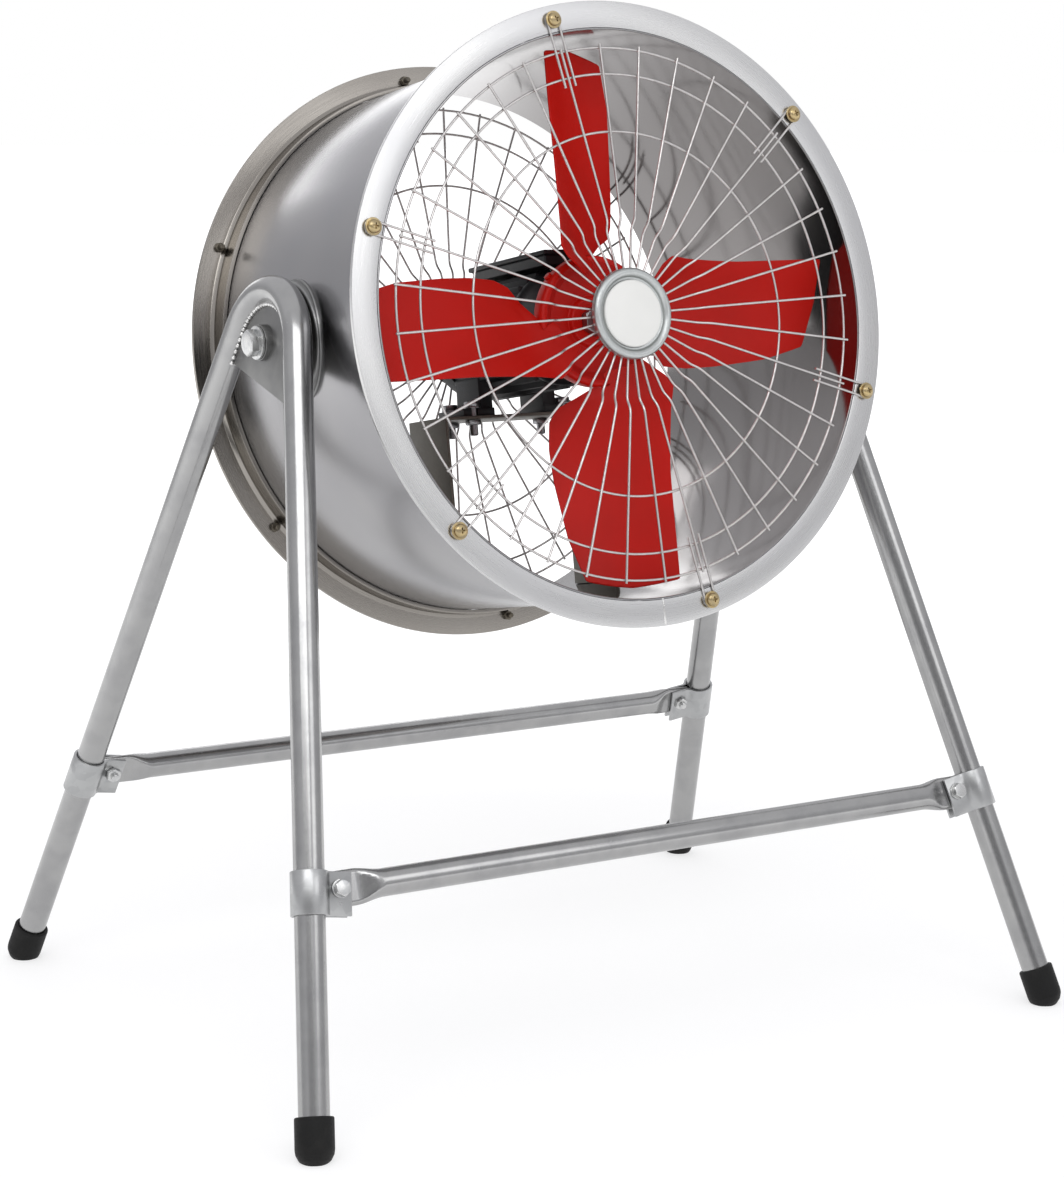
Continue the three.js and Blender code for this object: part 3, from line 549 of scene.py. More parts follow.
# The rear guard screws are copies of the front ones, made dark: painted shade at the back of the
# drum.
rear_screw_shaded_zinc = plated("rear_screw_shaded_zinc", (0.16, 0.14, 0.11), (0.10, 0.095, 0.085), 0.38, 260.0)
bright_zinc = plated("bright_zinc", (0.66, 0.66, 0.65), (0.46, 0.47, 0.48), 0.26, 260.0)
rotor_red = painted("rotor_red", (0.49, 0.005, 0.0015), (0.42, 0.006, 0.002), 0.38, 420, 0.04,
                    Specular_IOR_Level=0.22)
shaft_steel = plated("shaft_steel", (0.36, 0.36, 0.37), (0.25, 0.25, 0.26), 0.32, 400.0)
motor_black = painted("motor_black", (0.012, 0.013, 0.015), (0.026, 0.027, 0.028), 0.42, 700, 0.09,
                      Specular_IOR_Level=0.4)
# The bridge's dark colour is painted shade on a steel bridge under the motor.
shaded_bracket_steel = painted("shaded_bracket_steel", (0.13, 0.12, 0.10), (0.18, 0.165, 0.14), 0.45, 300, 0.05,
                        0.5)
stand_tube = drawn_tube("stand_tube", (0.39, 0.39, 0.388), (0.34, 0.34, 0.342), 0.22)
gusset_plate = drawn_tube("gusset_plate", (0.255, 0.255, 0.25), (0.215, 0.215, 0.215), 0.36)
# Weld beads and seams are real weld metal, made very bright as a painted highlight.
weld_highlight_metal = plated("weld_highlight_metal", (0.84, 0.84, 0.83), (0.50, 0.49, 0.48), 0.26, 500.0)
pad_steel = plated("pad_steel", (0.27, 0.27, 0.268), (0.22, 0.22, 0.22), 0.34, 130.0)
hot_dip_zinc = plated("hot_dip_zinc", (0.46, 0.465, 0.465), (0.36, 0.365, 0.37), 0.30, 130.0)
foot_rubber = moulded("foot_rubber", (0.008, 0.008, 0.008), (0.018, 0.017, 0.016), 0.6, 600, 0.06,
                      Specular_IOR_Level=0.22)
black_nylon = moulded("black_nylon", (0.018, 0.019, 0.020), (0.05, 0.05, 0.05), 0.45, 800, 0.03)


def fitted(piece, material, slot, *nodes, body=None):
    """Gives a finished piece its material, its body and the nodes that it stands for."""
    piece.data.materials.clear()
    piece.data.materials.append(material)
    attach(piece, body or BODY_OF[nodes[0]])
    if nodes:
        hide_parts(*nodes)
    return piece


# ---- duct and flanges ----------------------------------------------------------------

def duct():
    piece = turned("duct", [(DUCT_INSIDE, -HALF), (DUCT_OUTSIDE, -HALF), (DUCT_OUTSIDE, HALF),
                            (DUCT_INSIDE, HALF)], 192, "Y", 0.5, closed=True)
    fitted(moved(piece, DRUM), duct_steel, "duct", "drum_shell")


def flange(name, end, material, node):
    """Rolled angle with a fillet in its corner; its flat leg is flush with the duct's end."""
    slot = "flange" if end < 0 else "rear_flange"
    back, heel = end * (HALF - FLANGE_THICKNESS), end * (HALF - FLANGE_DEPTH)
    leg = FLANGE_INSIDE + FLANGE_THICKNESS
    piece = turned(name, [(FLANGE_INSIDE, end * HALF), (FLANGE_OUTSIDE, end * HALF),
                          (FLANGE_OUTSIDE, back), (leg + FLANGE_FILLET, back),
                          (leg, end * (HALF - FLANGE_THICKNESS - FLANGE_FILLET)), (leg, heel),
                          (FLANGE_INSIDE, heel)], 192, "Y", 0.5, closed=True)
    fitted(moved(piece, DRUM), material, slot, node)
    nothing_selected()
    bpy.ops.mesh.primitive_cylinder_add(vertices=16, radius=1.1 * MM,
                                        depth=(FLANGE_OUTSIDE - DUCT_INSIDE - 2.4) * MM)
    seam = use(named(f"{name}_seam"), "BEVEL", width=0.5 * MM, segments=2, limit_method="ANGLE")
    middle = (FLANGE_OUTSIDE + DUCT_INSIDE) / 2
    up = Matrix.Translation((0, end * (HALF - 0.55) * MM, middle * MM))
    moved(seam, Matrix.Rotation(math.radians(SEAM), 4, "Y") @ up)
    fitted(moved(smooth(seam), DRUM), weld_highlight_metal, slot, body="drum")


# ---- wire guards ---------------------------------------------------------------------

def weld_spots(first, y):
    """Small blobs where the spokes cross the ring wires."""
    spots = []
    for radius in RINGS:
        nothing_selected()
        bpy.ops.mesh.primitive_uv_sphere_add(segments=8, ring_count=5, radius=1.5 * MM,
                                             location=round_the_drum(radius, first, y) * MM)
        spots.append(repeated_round(named("spot"), SPOKES))
    return joined("welds", spots)


def guard(name, end, first, node):
    """Spokes that step back towards the middle, three ring wires and a hairpin at each screw."""
    plane = end * GUARD_PLANE
    low = end * (GUARD_PLANE - GUARD_STEP)
    ring_plane = end * (GUARD_PLANE - 2.05)
    turn = Matrix.Rotation(math.radians(first), 4, "Y")
    line = rounded([(0, low, 26), (0, low, 77), (0, plane, 85), (0, plane, 241)], 5, 3)
    pieces = [moved(repeated_round(bent_rod("spoke", line, WIRE, 10), SPOKES), turn)]
    for radius in RINGS:
        nothing_selected()
        bpy.ops.mesh.primitive_torus_add(major_radius=radius * MM, minor_radius=WIRE * MM,
                                         major_segments=144, minor_segments=10,
                                         location=(0, ring_plane * MM, 0),
                                         rotation=(math.pi / 2, 0, 0))
        pieces.append(moved(named("ring"), Matrix.Identity(4)))
    outer = end * (GUARD_PLANE - 0.4)
    hook = [Vector((-HAIRPIN_HALF, plane, 206.5)), Vector((-HAIRPIN_HALF, outer, 252))]
    for k in range(9):
        a = math.pi - k * math.pi / 8
        hook.append(Vector((HAIRPIN_HALF * math.cos(a), outer,
                            SCREW_CIRCLE + HAIRPIN_HALF * math.sin(a))))
    hook += [Vector((HAIRPIN_HALF, outer, 252)), Vector((HAIRPIN_HALF, plane, 206.5))]
    pieces.append(moved(repeated_round(bent_rod("hairpin", hook, WIRE, 10), SCREWS), turn))
    pieces.append(turned("plate", [(0, low + end), (34, low + end), (36, low + end * 0.4),
                                   (36, low - end * 1.6), (33, low - end), (0, low - end)],
                         72, "Y", 0.4))
    pieces.append(weld_spots(first, end * (GUARD_PLANE - 1.0)))
    piece = smooth(joined(name, pieces), 50)
    fitted(moved(piece, DRUM), guard_wire, "wire", node)


def badge():
    """Pressed ring with a plain enamelled disc let into it."""
    back = -157.4
    section = [(28, 0), (41, 0), (41, 5.2), (38.8, 7.7), (35.8, 7.7), (33.9, 6.0), (32.6, 3.2),
               (30.4, 3.2), (30.4, 2), (28, 2)]
    rim = turned("badge_ring", [(r, back - y) for r, y in section], 96, "Y", 1.3, closed=True)
    fitted(moved(rim, DRUM), badge_rim, "badge", "badge_disc")
    dome = [(0, back - 0.2), (30, back - 0.2), (30.1, back - 5.0), (29.2, back - 5.8)]
    for k in range(1, 9):
        share = 1 - k / 8
        dome.append((29.2 * share, back - 5.8 - 1.5 * (1 - share * share)))
    disc = turned("badge_disc_face", dome, 96, "Y")
    fitted(moved(disc, DRUM), badge_enamel, "badge", "badge_disc")


def cross_slots(y_top, depth):
    """Two crossed bars that cut a screwdriver recess from the head's top, along Y."""
    bars = []
    for turn in (0, math.pi / 2):
        nothing_selected()
        bpy.ops.mesh.primitive_cube_add(size=1, location=(0, y_top * MM, 0))
        piece = named("bar")
        piece.scale = (5.4 * MM, 2 * depth * MM, 1.15 * MM)
        bars.append(moved(piece, Matrix.Rotation(turn, 4, "Y")))
    return bars


def guard_screw():
    """Washer, pan head with a cross recess, thread and nut, as at the front; made at the axis."""
    seat = -162.8
    head = seat - 1.3
    pan = turned("screw", [(0, head), (5.9, head), (6.0, head - 1.6), (4.9, head - 3.2),
                           (2.9, head - 4.0), (0, head - 4.2)], 40, "Y", 0.8)
    for bar in cross_slots(head - 4.2, 2.2):
        cut_by(pan, bar)
    smooth(pan)
    washer = turned("washer", [(2.7, seat), (7.8, seat), (7.8, head), (2.7, head)],
                    40, "Y", 0.4, True)
    shank = turned("thread", [(0, head), (2.5, head), (2.5, -147), (1.9, -146.2), (0, -146.2)],
                   16, "Y")
    nut = hexagon("nut", 8, 4)
    moved(nut, Matrix.Translation((0, -156 * MM, 0)) @ Matrix.Rotation(-math.pi / 2, 4, "X"))
    return joined("guard_screw", [pan, washer, shank, nut])


def guard_screws():
    first = guard_screw()
    for i in range(SCREWS):
        for end, start in ((-1, FRONT_SCREWS), (1, REAR_SCREWS)):
            turn = Matrix.Identity(4) if end < 0 else Matrix.Rotation(math.pi, 4, "Z")
            spin = Matrix.Rotation(0.5 + 1.7 * i + end, 4, "Y")
            place = Matrix.Translation(
                round_the_drum(SCREW_CIRCLE, start + 360 / SCREWS * i, 0) * MM)
            # Rear screws take the darker zinc colour, which is painted shade.
            side, plating = ("front", yellow_zinc) if end < 0 else ("rear", rear_screw_shaded_zinc)
            piece = copied(first, f"{side}_guard_screw_{i + 1}", DRUM @ place @ turn @ spin)
            fitted(piece, plating, "zinc", f"{side}_screw_{i + 1}")
    bpy.data.objects.remove(first)


# ---- rotor ---------------------------------------------------------------------------

def rotor():
    for i in range(1, 5):
        piece = node_copy(f"blade_{i}", f"fan_blade_{i}")
        edit(piece)
        bpy.ops.mesh.tris_convert_to_quads(face_threshold=1.2, shape_threshold=1.2)
        bpy.ops.mesh.select_all(action="DESELECT")
        bpy.ops.mesh.edges_select_sharp(sharpness=math.radians(38))
        bpy.ops.transform.edge_crease(value=0.75)
        done()
        use(piece, "SUBSURF", levels=2, render_levels=2)
        fitted(smooth(piece, 45), rotor_red, "red", f"blade_{i}")
    profile = [(10.3, 8), (22, 8), (24, 13), (46, 7), (54, 0), (58, 0), (60, 3), (60, 14),
               (56, 14), (56, 9), (52, 7), (47, 12), (25, 18), (22, 28), (10.3, 28)]
    pieces = [turned("rotor_hub", [(r, HUB_FRONT + y) for r, y in profile],
                     120, "Y", 1.6, closed=True)]
    for i in range(4):
        angle = HUB_BOLTS + 90 * i
        place = pointing(round_the_drum(1, angle, 0), round_the_drum(59.5, angle, HUB_FRONT + 8))
        pieces.append(moved(hexagon("head", 7, 3.2), place))
    fitted(moved(joined("rotor_hub", pieces), DRUM), rotor_red, "red", "fan_hub")
    nut = moved(hexagon("shaft_nut", 24.2, 9), pointing((0, -1, 0), (0, HUB_FRONT + 7.7, 0)))
    fitted(moved(nut, DRUM), shaft_steel, "steel", "hub_nut")
    shaft = turned("motor_shaft_turned", [(0, -108), (5.2, -108), (6, -107), (6, -95.5),
                                          (10, -95.5), (10, -37), (0, -37)], 48, "Y")
    fitted(moved(shaft, DRUM), shaft_steel, "steel", "motor_shaft")


# ---- motor and its bridge ------------------------------------------------------------

def motor():
    shield = turned("motor_shield", [(10.3, -64), (23, -64), (25, -58), (36, -55), (49, -47),
                                     (53, -42), (53, -36.3), (10.3, -36.3)],
                    96, "Y", 2.2, closed=True)
    fitted(moved(shield, DRUM), motor_black, "motor", "motor_front_shield")
    body = node_copy("motor_body", "motor_finned_body", 0.7)
    fitted(body, motor_black, "motor", "motor_body")
    cowl = turned("motor_cowl", [(0, 120.3), (42, 120.3), (49, 118.3), (54, 111.3), (54, 94.3),
                                 (52, 94.3), (52, 110.3), (48, 116.3), (42, 118.3), (0, 118.3)],
                  96, "Y", 2.0)
    for radius, count in ((15, 6), (26, 12), (37, 16)):
        nothing_selected()
        bpy.ops.mesh.primitive_cylinder_add(vertices=16, radius=3.0 * MM, depth=12 * MM,
                                            location=(radius * MM, 119 * MM, 0),
                                            rotation=(math.pi / 2, 0, 0))
        holes = moved(named("holes"), Matrix.Identity(4))
        cut_by(cowl, repeated_round(holes, count))
    fitted(moved(smooth(cowl), DRUM), motor_black, "motor", "motor_fan_cowl")
    box = node_copy("terminal_box", "terminal_housing", 1.4, 3)
    fitted(box, motor_black, "motor", "terminal_box")
    gland = turned("gland", [(0, 0), (4.4, 0), (4.4, 4), (3.8, 4.4), (3.8, 12), (2.6, 15), (0, 15)],
                   24, "Z", 0.5)
    nut = moved(hexagon("gland_nut", 8.8, 3), Matrix.Translation((0, 0, 5 * MM)))
    gland = joined("gland", [gland, nut])
    fitted(moved(gland, DRUM @ pointing((1, 0, 0), (25.3, 49, 61))), black_nylon, "nylon",
           "cable_gland")


def bridge():
    """Bent plate from wall to wall under the motor, its feet following the duct."""
    outside, reach, seat = 87, 119, DUCT_INSIDE - GAP
    inside = outside - BRACKET_SHEET
    side = [(inside, PLATE_TOP - BRACKET_SHEET)]
    for i in range(9):
        x = inside + (reach - inside) * i / 8
        side.append((x, -math.sqrt(seat ** 2 - x * x)))
    for i in range(8):
        x = reach - (reach - outside) * i / 7
        side.append((x, -math.sqrt((seat - BRACKET_SHEET) ** 2 - x * x)))
    side.append((outside, PLATE_TOP))
    corners = side + [(-x, z) for x, z in reversed(side)]
    piece = slab("motor_bridge", corners, BRACKET_DEPTH)
    place = Matrix.Translation((0, BRACKET_BACK * MM, 0)) @ Matrix.Rotation(math.pi / 2, 4, "X")
    fitted(moved(piece, DRUM @ place), shaded_bracket_steel, "bracket", "motor_bracket")


def motor_bolts():
    for i in range(1, 5):
        lo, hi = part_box(f"motor_bolt_{i}")
        centre = DRUM.inverted() @ ((lo + hi) / 2)
        top = PLATE_TOP + GAP + MOTOR_FOOT + GAP
        drop = top - (PLATE_TOP - BRACKET_SHEET - GAP)
        piece = bolt(f"motor_foot_bolt_{i}", 13, 5, 8, 1.5, 4, drop + 15, drop)
        at = (centre.x / MM, centre.y / MM, top)
        fitted(moved(piece, DRUM @ pointing((0, 0, 1), at)), shaft_steel, "steel",
               f"motor_bolt_{i}")


# ---- pivots --------------------------------------------------------------------------

def pivot(side, word):
    """Pad welded to the duct, nylon spacer, and the bolt through the frame's sleeve."""
    outwards = (side, 0, 0)
    pad = turned("pad", [(0, 225), (PAD_RADIUS, 225), (PAD_RADIUS, 258.9), (52, 260.3), (24, 260.3),
                         (20, 268), (7.3, 268), (7.3, 240), (0, 240)], 96, "Z", 1.2)
    moved(pad, pointing(outwards, (0, 0, 0)))
    nothing_selected()
    bpy.ops.mesh.primitive_cylinder_add(vertices=192, radius=(DUCT_OUTSIDE + 0.1) * MM,
                                        depth=240 * MM, rotation=(math.pi / 2, 0, 0))
    cut_by(pad, moved(named("duct_round"), Matrix.Identity(4)))
    bead = []
    for i in range(72):
        y, z = PAD_RADIUS * math.cos(TURN * i / 72), PAD_RADIUS * math.sin(TURN * i / 72)
        bead.append(Vector((math.sqrt((DUCT_OUTSIDE + 0.6) ** 2 - z ** 2) * side, y, z)))
    seam = bent_rod("pad_seam", bead, 1.6, 8, loop=True)
    piece = smooth(joined(f"pivot_boss_{word}", [pad, seam]))
    fitted(moved(piece, DRUM), pad_steel, "galvanised", f"pivot_pad_{word}")
    spacer = turned(f"pivot_washer_{word}", [(7.3, 268.3), (18, 268.3), (18, 271.7), (7.3, 271.7)],
                    64, "Z", 0.5, closed=True)
    fitted(moved(spacer, DRUM @ pointing(outwards, (0, 0, 0))), black_nylon, "nylon",
           f"pivot_spacer_{word}")
    piece = bolt(f"tilt_bolt_{word}", 21, 9, 15, 2.4, 7, 33)
    fitted(moved(piece, pointing(outwards, (side * 290.3, 0, PIVOT_HEIGHT))), bright_zinc, "zinc",
           f"pivot_bolt_{word}")


# ---- stand ---------------------------------------------------------------------------

def frame_point(side, y, up):
    """A point in the leaning plane of a side frame, in millimetres."""
    return Vector((side * (FOOT_HALF_WIDTH - up * math.sin(LEAN)), y, up * math.cos(LEAN)))


def leg_y(up):
    return FOOT_HALF_DEPTH - up * math.tan(LEG_SLOPE)


def bend_points(side, radius, steps):
    """Points round the top bend, front to back, at a radius from its centre."""
    points = []
    for i in range(steps + 1):
        a = LEG_SLOPE + (i / steps) * (math.pi - 2 * LEG_SLOPE)
        points.append(frame_point(side, -radius * math.cos(a), BEND_CENTRE + radius * math.sin(a)))
    return points


def frame_place(side):
    """Sheet X to the back, Y up the lean and Z outwards, centred on the pivot."""
    up = Vector((-side * math.sin(LEAN), 0, math.cos(LEAN)))
    out = Vector((side * math.cos(LEAN), 0, math.sin(LEAN)))
    turn = Matrix((Vector((0, 1, 0)), up, out)).transposed().to_4x4()
    return Matrix.Translation(Vector((side * PIVOT_PLANE, 0, PIVOT_HEIGHT)) * MM) @ turn


def side_frame(side, word):
    points = [frame_point(side, -leg_y(LEG_END), LEG_END), *bend_points(side, BEND_RADIUS, 28),
              frame_point(side, leg_y(LEG_END), LEG_END)]
    tube = bent_rod(f"leg_tube_{word}", points, LEG_RADIUS, 40)
    fitted(tube, stand_tube, "tube", f"side_frame_{word}")


def gusset(side, word):
    """Plate in the top bend with its sleeve, welded to the tube by a row of small beads."""
    inner = BEND_RADIUS - LEG_RADIUS - 0.1
    rise = BEND_CENTRE - SLANT_HEIGHT
    edge = (LEG_RADIUS + 0.1) / math.cos(LEG_SLOPE)
    corners = [(leg_y(SLANT_HEIGHT - GUSSET_FRONT) - edge, -GUSSET_FRONT)]
    for i in range(25):
        a = LEG_SLOPE + (i / 24) * (math.pi - 2 * LEG_SLOPE)
        corners.append((inner * math.cos(a), rise + inner * math.sin(a)))
    corners.append((-(leg_y(SLANT_HEIGHT - GUSSET_BACK) - edge), -GUSSET_BACK))
    plate = moved(slab("plate", corners, 4, -2), frame_place(side))
    sleeve = turned("sleeve", [(7.3, 272), (16, 272), (16, 290), (7.3, 290)],
                    64, "Z", 0.8, closed=True)
    moved(sleeve, pointing((side, 0, 0), (0, 0, PIVOT_HEIGHT)))
    piece = joined(f"gusset_sheet_{word}", [plate, sleeve])
    fitted(piece, gusset_plate, "tube", f"gusset_{word}")
    path = [Vector((*corner, 0)) for corner in corners]
    beads = []
    for z in (-2.8, 2.8):
        for here, there in zip(path, path[1:]):
            count = max(1, round((there - here).length / 5.6))
            for i in range(count):
                spot = here.lerp(there, i / count) + Vector((0, 0, z))
                beads.append(frame_place(side) @ (spot * MM))
    nothing_selected()
    bpy.ops.mesh.primitive_uv_sphere_add(segments=8, ring_count=5, radius=2.3 * MM,
                                         location=beads[0])
    row = named(f"gusset_weld_{word}")
    bpy.ops.object.mode_set(mode="EDIT")
    for here, there in zip(beads, beads[1:]):
        bpy.ops.mesh.duplicate_move(TRANSFORM_OT_translate={"value": there - here})
    done()
    row = smooth(moved(row, Matrix.Identity(4)), 60)
    fitted(row, weld_highlight_metal, "tube", body="stand")


def leg_axes(side, end):
    """A leg's foot on the floor, its direction up, the one to the other frame, and a bolt's."""
    low = Vector((side * FOOT_HALF_WIDTH, end * FOOT_HALF_DEPTH, 0))
    high = Vector((side * PIVOT_PLANE, end * LEG_HALF_DEPTH, PIVOT_HEIGHT))
    up = (high - low).normalized()
    inwards = Vector((-side, 0, 0))
    inwards = (inwards - up * inwards.dot(up)).normalized()
    through = Vector((0, end * up.z, -end * up.y)).normalized()
    return low, up, inwards, through


def crossbar_end(side, end):
    low, up, _, _ = leg_axes(side, end)
    return low + up * (CROSSBAR_HEIGHT / up.z)


def clamp(side, end, word):
    """Strap bent round the leg, with two ears that hold the crossbar's flat end."""
    low, up, inwards, through = leg_axes(side, end)
    inner, outer = LEG_RADIUS + GAP, LEG_RADIUS + 2.9
    ear_in, ear_out, reach = 3.2, 5.8, 36
    start = math.asin(ear_out / outer) + 0.16
    corners = [(reach, ear_in), (reach, ear_out), (outer * math.cos(start) + 3, ear_out)]
    for i in range(37):
        a = start + (i / 36) * 2 * (math.pi - start)
        corners.append((outer * math.cos(a), outer * math.sin(a)))
    corners += [(outer * math.cos(start) + 3, -ear_out), (reach, -ear_out), (reach, -ear_in)]
    start = math.asin(ear_in / inner)
    for i in range(37):
        a = 2 * math.pi - start - (i / 36) * 2 * (math.pi - start)
        corners.append((inner * math.cos(a), inner * math.sin(a)))
    band = slab(f"leg_clamp_{word}", corners, CLAMP_HEIGHT, -CLAMP_HEIGHT / 2)
    turn = Matrix((inwards, up.cross(inwards), up)).transposed().to_4x4()
    at = crossbar_end(side, end)
    fitted(moved(band, Matrix.Translation(at * MM) @ turn), hot_dip_zinc, "galvanised",
           f"clamp_{word}")
    face = 5.9
    piece = bolt(f"clamp_screw_{word}", 13, 5, 8, 1.5, 4, 2 * face + 9, 2 * face)
    at = at + Vector((-side * CLAMP_BOLT, 0, 0)) + through * face
    fitted(moved(piece, pointing(through, at)), bright_zinc, "zinc", f"clamp_bolt_{word}")


def crossbar(end, word):
    """Round tube pressed flat at both ends; made along X, its flats facing Y."""
    _, _, _, through = leg_axes(-1, end)
    middle = crossbar_end(1, end)
    reach = middle.x
    nothing_selected()
    # Distance from the leg, half depth and half height.
    stations = [(17, 3.0, 15.5), (42, 3.0, 15.5), (46, 4.0, 15.2), (50, 5.8, 14.6), (54, 7.8, 13.8),
                (58, 9.8, 13.0), (62, 11.2, 12.4), (66, 12.0, 12.0)]
    bpy.ops.mesh.primitive_cylinder_add(vertices=32, radius=CROSSBAR_RADIUS * MM,
                                        depth=2 * (reach - stations[0][0]) * MM,
                                        rotation=(0, math.pi / 2, 0))
    tube = moved(named(f"cross_tube_{word}"), Matrix.Identity(4))
    for back, _, _ in stations[1:]:
        for side in (-1, 1):
            edit(tube)
            bpy.ops.mesh.bisect(plane_co=(side * (reach - back) * MM, 0, 0), plane_no=(1, 0, 0))
            done()
    for back, thin, tall in stations:
        for side in (-1, 1):
            edit(tube)
            bpy.ops.mesh.select_all(action="DESELECT")
            shape = bmesh.from_edit_mesh(tube.data)
            for vertex in shape.verts:
                vertex.select = abs(vertex.co.x - side * (reach - back) * MM) < 0.4 * MM
            shape.select_flush_mode()
            bmesh.update_edit_mesh(tube.data)
            squeeze = 1.0 + 0.9 * (CROSSBAR_RADIUS - thin) / 9
            bpy.ops.transform.resize(value=(1, thin / CROSSBAR_RADIUS * squeeze,
                                            tall / CROSSBAR_RADIUS), center_override=(0, 0, 0))
            for face in (-1, 1):
                shape = bmesh.from_edit_mesh(tube.data)
                for vertex in shape.verts:
                    near = abs(vertex.co.x - side * (reach - back) * MM) < 0.4 * MM
                    vertex.select = near and face * vertex.co.y > thin * MM
                shape.select_flush_mode()
                bmesh.update_edit_mesh(tube.data)
                if any(vertex.select for vertex in shape.verts):
                    bpy.ops.transform.resize(value=(1, 0, 1),
                                             center_override=(0, face * thin * MM, 0))
            done()
    softened(tube, 0.5, 2, 50)
    tall = Vector((1, 0, 0)).cross(through)
    turn = Matrix((Vector((1, 0, 0)), through, tall)).transposed().to_4x4()
    piece = moved(tube, Matrix.Translation(Vector((0, middle.y, middle.z)) * MM) @ turn)
    fitted(smooth(piece, 50), stand_tube, "tube", f"crossbar_{word}")


def foot(side, end, word):
    """Rubber cap on the leg's end, cut flat where it stands."""
    low, up, _, _ = leg_axes(side, end)
    cup = turned(f"leg_cap_{word}", [(0, -4), (8, -3), (13, 1), (15.76, 6), (16.36, 10),
                                     (16.36, 35), (15.56, 36), (13.1, 36), (13.1, 9), (0, 9)],
                 64, "Z", 1.0)
    moved(cup, pointing(up, low))
    edit(cup)
    bpy.ops.mesh.bisect(plane_co=(0, 0, 0), plane_no=(0, 0, 1), use_fill=True, clear_inner=True,
                        threshold=MM / 1000)
    done()
    fitted(smooth(cup, 40), foot_rubber, "rubber", f"foot_{word}")


# ---- studio --------------------------------------------------------------------------

def camera():
    yaw, pitch, roll = math.radians(34.32), math.radians(-8.95), math.radians(1.313)
    ahead = Vector((math.sin(yaw) * math.cos(pitch), math.cos(yaw) * math.cos(pitch),
                    math.sin(pitch)))
    level = Vector((math.cos(yaw), -math.sin(yaw), 0))
    above = level.cross(ahead)
    right = level * math.cos(roll) + above * math.sin(roll)
    up = above * math.cos(roll) - level * math.sin(roll)
    nothing_selected()
    bpy.ops.object.camera_add()
    view = bpy.context.object
    view.name = "camera"
    turn = Matrix((right, up, -ahead)).transposed().to_4x4()
    view.matrix_world = Matrix.Translation((-1.3868, -2.22826, 0.85972)) @ turn
    view.data.sensor_width = 36
    view.data.lens = 85.59
    view.data.shift_x = -0.10195
    view.data.shift_y = -0.05098
    view.data.clip_end = 200
    bpy.context.scene.camera = view


def softbox(name, at, towards, width, height, radiance):
    """A rectangular lamp that the camera itself doesn't see."""
    nothing_selected()
    bpy.ops.object.light_add(type="AREA")
    lamp = bpy.context.object
    lamp.name = name
    lamp.matrix_world = Matrix.Translation(at) @ facing(Vector(towards) - Vector(at), "-Z")
    lamp.data.shape = "RECTANGLE"
    lamp.data.size = width
    lamp.data.size_y = height
    lamp.data.energy = radiance * math.pi * width * height
    lamp.visible_camera = False


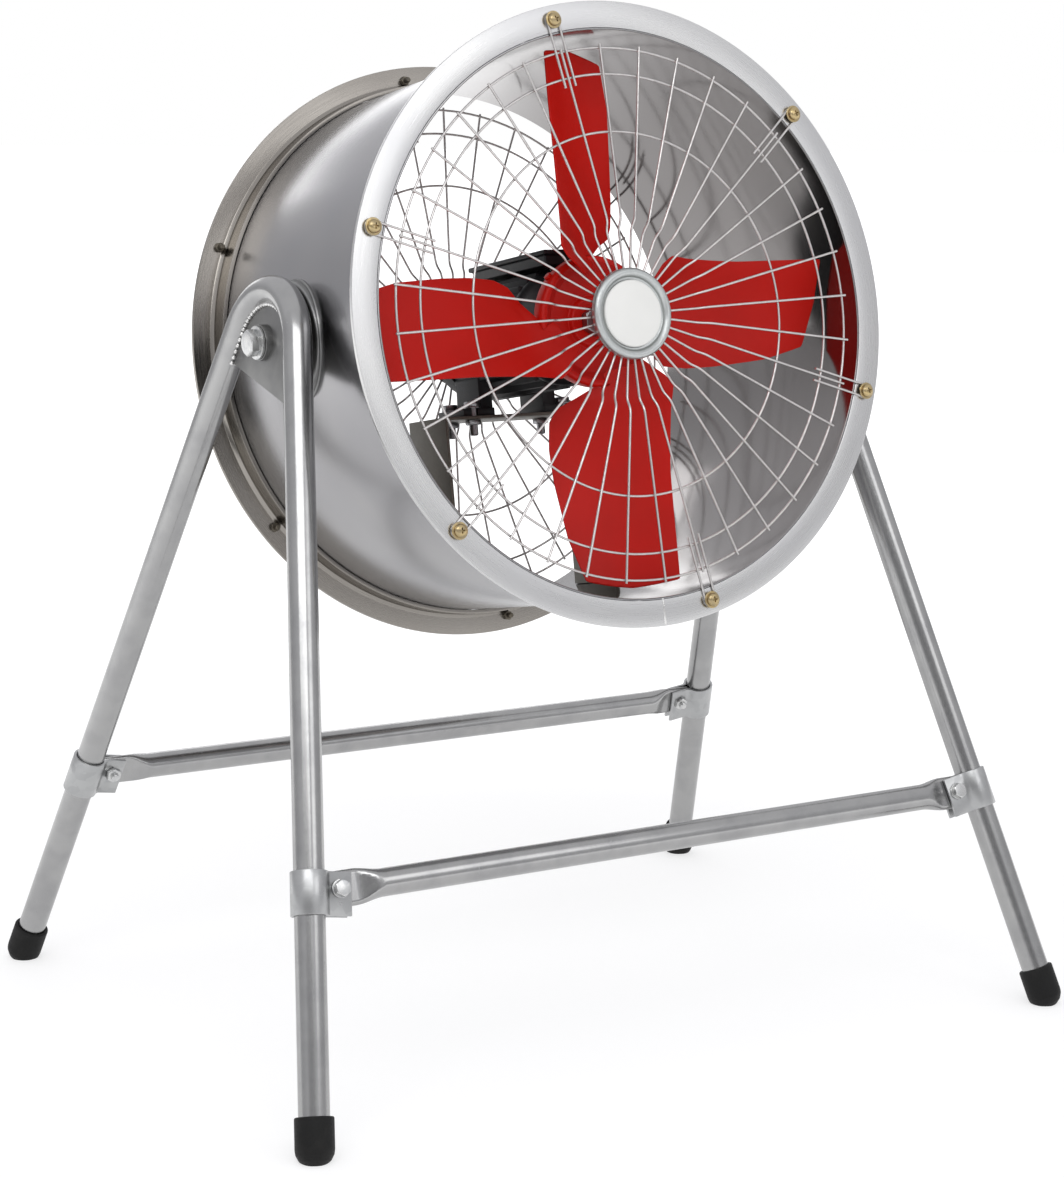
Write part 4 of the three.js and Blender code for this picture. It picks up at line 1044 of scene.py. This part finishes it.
def room():
    """White to the camera; in reflections a grey horizon, a paler ceiling and a dark lens side."""
    world = bpy.data.worlds.new("studio")
    bpy.context.scene.world = world
    world.use_nodes = True
    nodes, links = world.node_tree.nodes, world.node_tree.links
    nodes.clear()
    out = nodes.new("ShaderNodeOutputWorld")
    place = nodes.new("ShaderNodeTexCoord")
    split = nodes.new("ShaderNodeSeparateXYZ")
    links.new(place.outputs["Generated"], split.inputs[0])
    height = nodes.new("ShaderNodeValToRGB")
    ramp = height.color_ramp
    ramp.elements[0].position, ramp.elements[0].color = 0.0, (0.45, 0.45, 0.47, 1)
    ramp.elements[1].position, ramp.elements[1].color = 1.0, (0.86, 0.86, 0.88, 1)
    for position, grey in ((0.5, 0.58), (0.58, 0.60), (0.72, 0.82)):
        ramp.elements.new(position).color = (grey, grey, grey * 1.03, 1)
    rise = nodes.new("ShaderNodeMapRange")
    rise.inputs["From Min"].default_value = -1
    links.new(split.outputs[2], rise.inputs["Value"])
    links.new(rise.outputs[0], height.inputs[0])
    lens_side = nodes.new("ShaderNodeVectorMath")
    lens_side.operation = "DOT_PRODUCT"
    lens_side.inputs[1].default_value = (-0.557, -0.816, 0.156)
    links.new(place.outputs["Generated"], lens_side.inputs[0])
    dark = nodes.new("ShaderNodeMapRange")
    for socket, number in zip(("From Min", "From Max", "To Min", "To Max"), (0.80, 0.92, 1.0, 0.5)):
        dark.inputs[socket].default_value = number
    links.new(lens_side.outputs["Value"], dark.inputs["Value"])
    seen = nodes.new("ShaderNodeBackground")
    links.new(height.outputs[0], seen.inputs["Color"])
    links.new(dark.outputs[0], seen.inputs["Strength"])
    white = nodes.new("ShaderNodeBackground")
    white.inputs["Color"].default_value = (1, 1, 1, 1)
    white.inputs["Strength"].default_value = 1.0
    ray = nodes.new("ShaderNodeLightPath")
    mix = nodes.new("ShaderNodeMixShader")
    links.new(ray.outputs["Is Camera Ray"], mix.inputs[0])
    links.new(seen.outputs[0], mix.inputs[1])
    links.new(white.outputs[0], mix.inputs[2])
    links.new(mix.outputs[0], out.inputs["Surface"])


def floor():
    """Pale paper that glows a little, most away from the fan, so that it meets the white."""
    nothing_selected()
    bpy.ops.mesh.primitive_plane_add(size=60)
    piece = named("studio_floor")
    finish = Finish("floor_paper", (0.42, 0.42, 0.42), 0.9)
    clouds = finish.noise(0.8, 2)
    finish.coloured(finish.blend(finish.between(clouds, 0, 1), (0.42, 0.42, 0.42),
                                 (0.40, 0.40, 0.405)))
    finish.shader.inputs["Emission Color"].default_value = (1, 1, 1, 1)
    away = finish.nodes.new("ShaderNodeVectorMath")
    away.operation = "LENGTH"
    finish.links.new(finish.place, away.inputs[0])
    glow = finish.between(away.outputs["Value"], 0.62, 1.0, 0.7, 2.6)
    finish.links.new(glow, finish.shader.inputs["Emission Strength"])
    piece.data.materials.append(finish.material)


def lamps():
    softbox("key", (-1.55, -2.05, 2.65), (0, 0, 0.4), 3.0, 1.3, 2.8)
    softbox("fill", (0.95, -2.85, 2.0), (0, 0, 0.6), 1.5, 1.2, 1.32)
    softbox("back", (0.9, 3.6, 1.5), (0, 0, 0.8), 2.8, 0.8, 1.5)


bpy.context.scene.view_settings.view_transform = "Standard"
camera()
room()
floor()
lamps()
duct()
flange("front_ring", -1, front_flange_lit_steel, "front_flange")
flange("rear_ring", 1, rear_flange_shaded_steel, "rear_flange")
guard("front_wire_guard", -1, FRONT_SCREWS, "front_guard")
guard("rear_wire_guard", 1, REAR_SCREWS, "rear_guard")
badge()
guard_screws()
rotor()
motor()
bridge()
motor_bolts()
for sign, side_word in ((-1, "left"), (1, "right")):
    pivot(sign, side_word)
    side_frame(sign, side_word)
    gusset(sign, side_word)
for sign_y, end_word in ((-1, "front"), (1, "back")):
    crossbar(sign_y, end_word)
    for sign, side_word in ((-1, "left"), (1, "right")):
        clamp(sign, sign_y, f"{end_word}_{side_word}")
        foot(sign, sign_y, f"{end_word}_{side_word}")
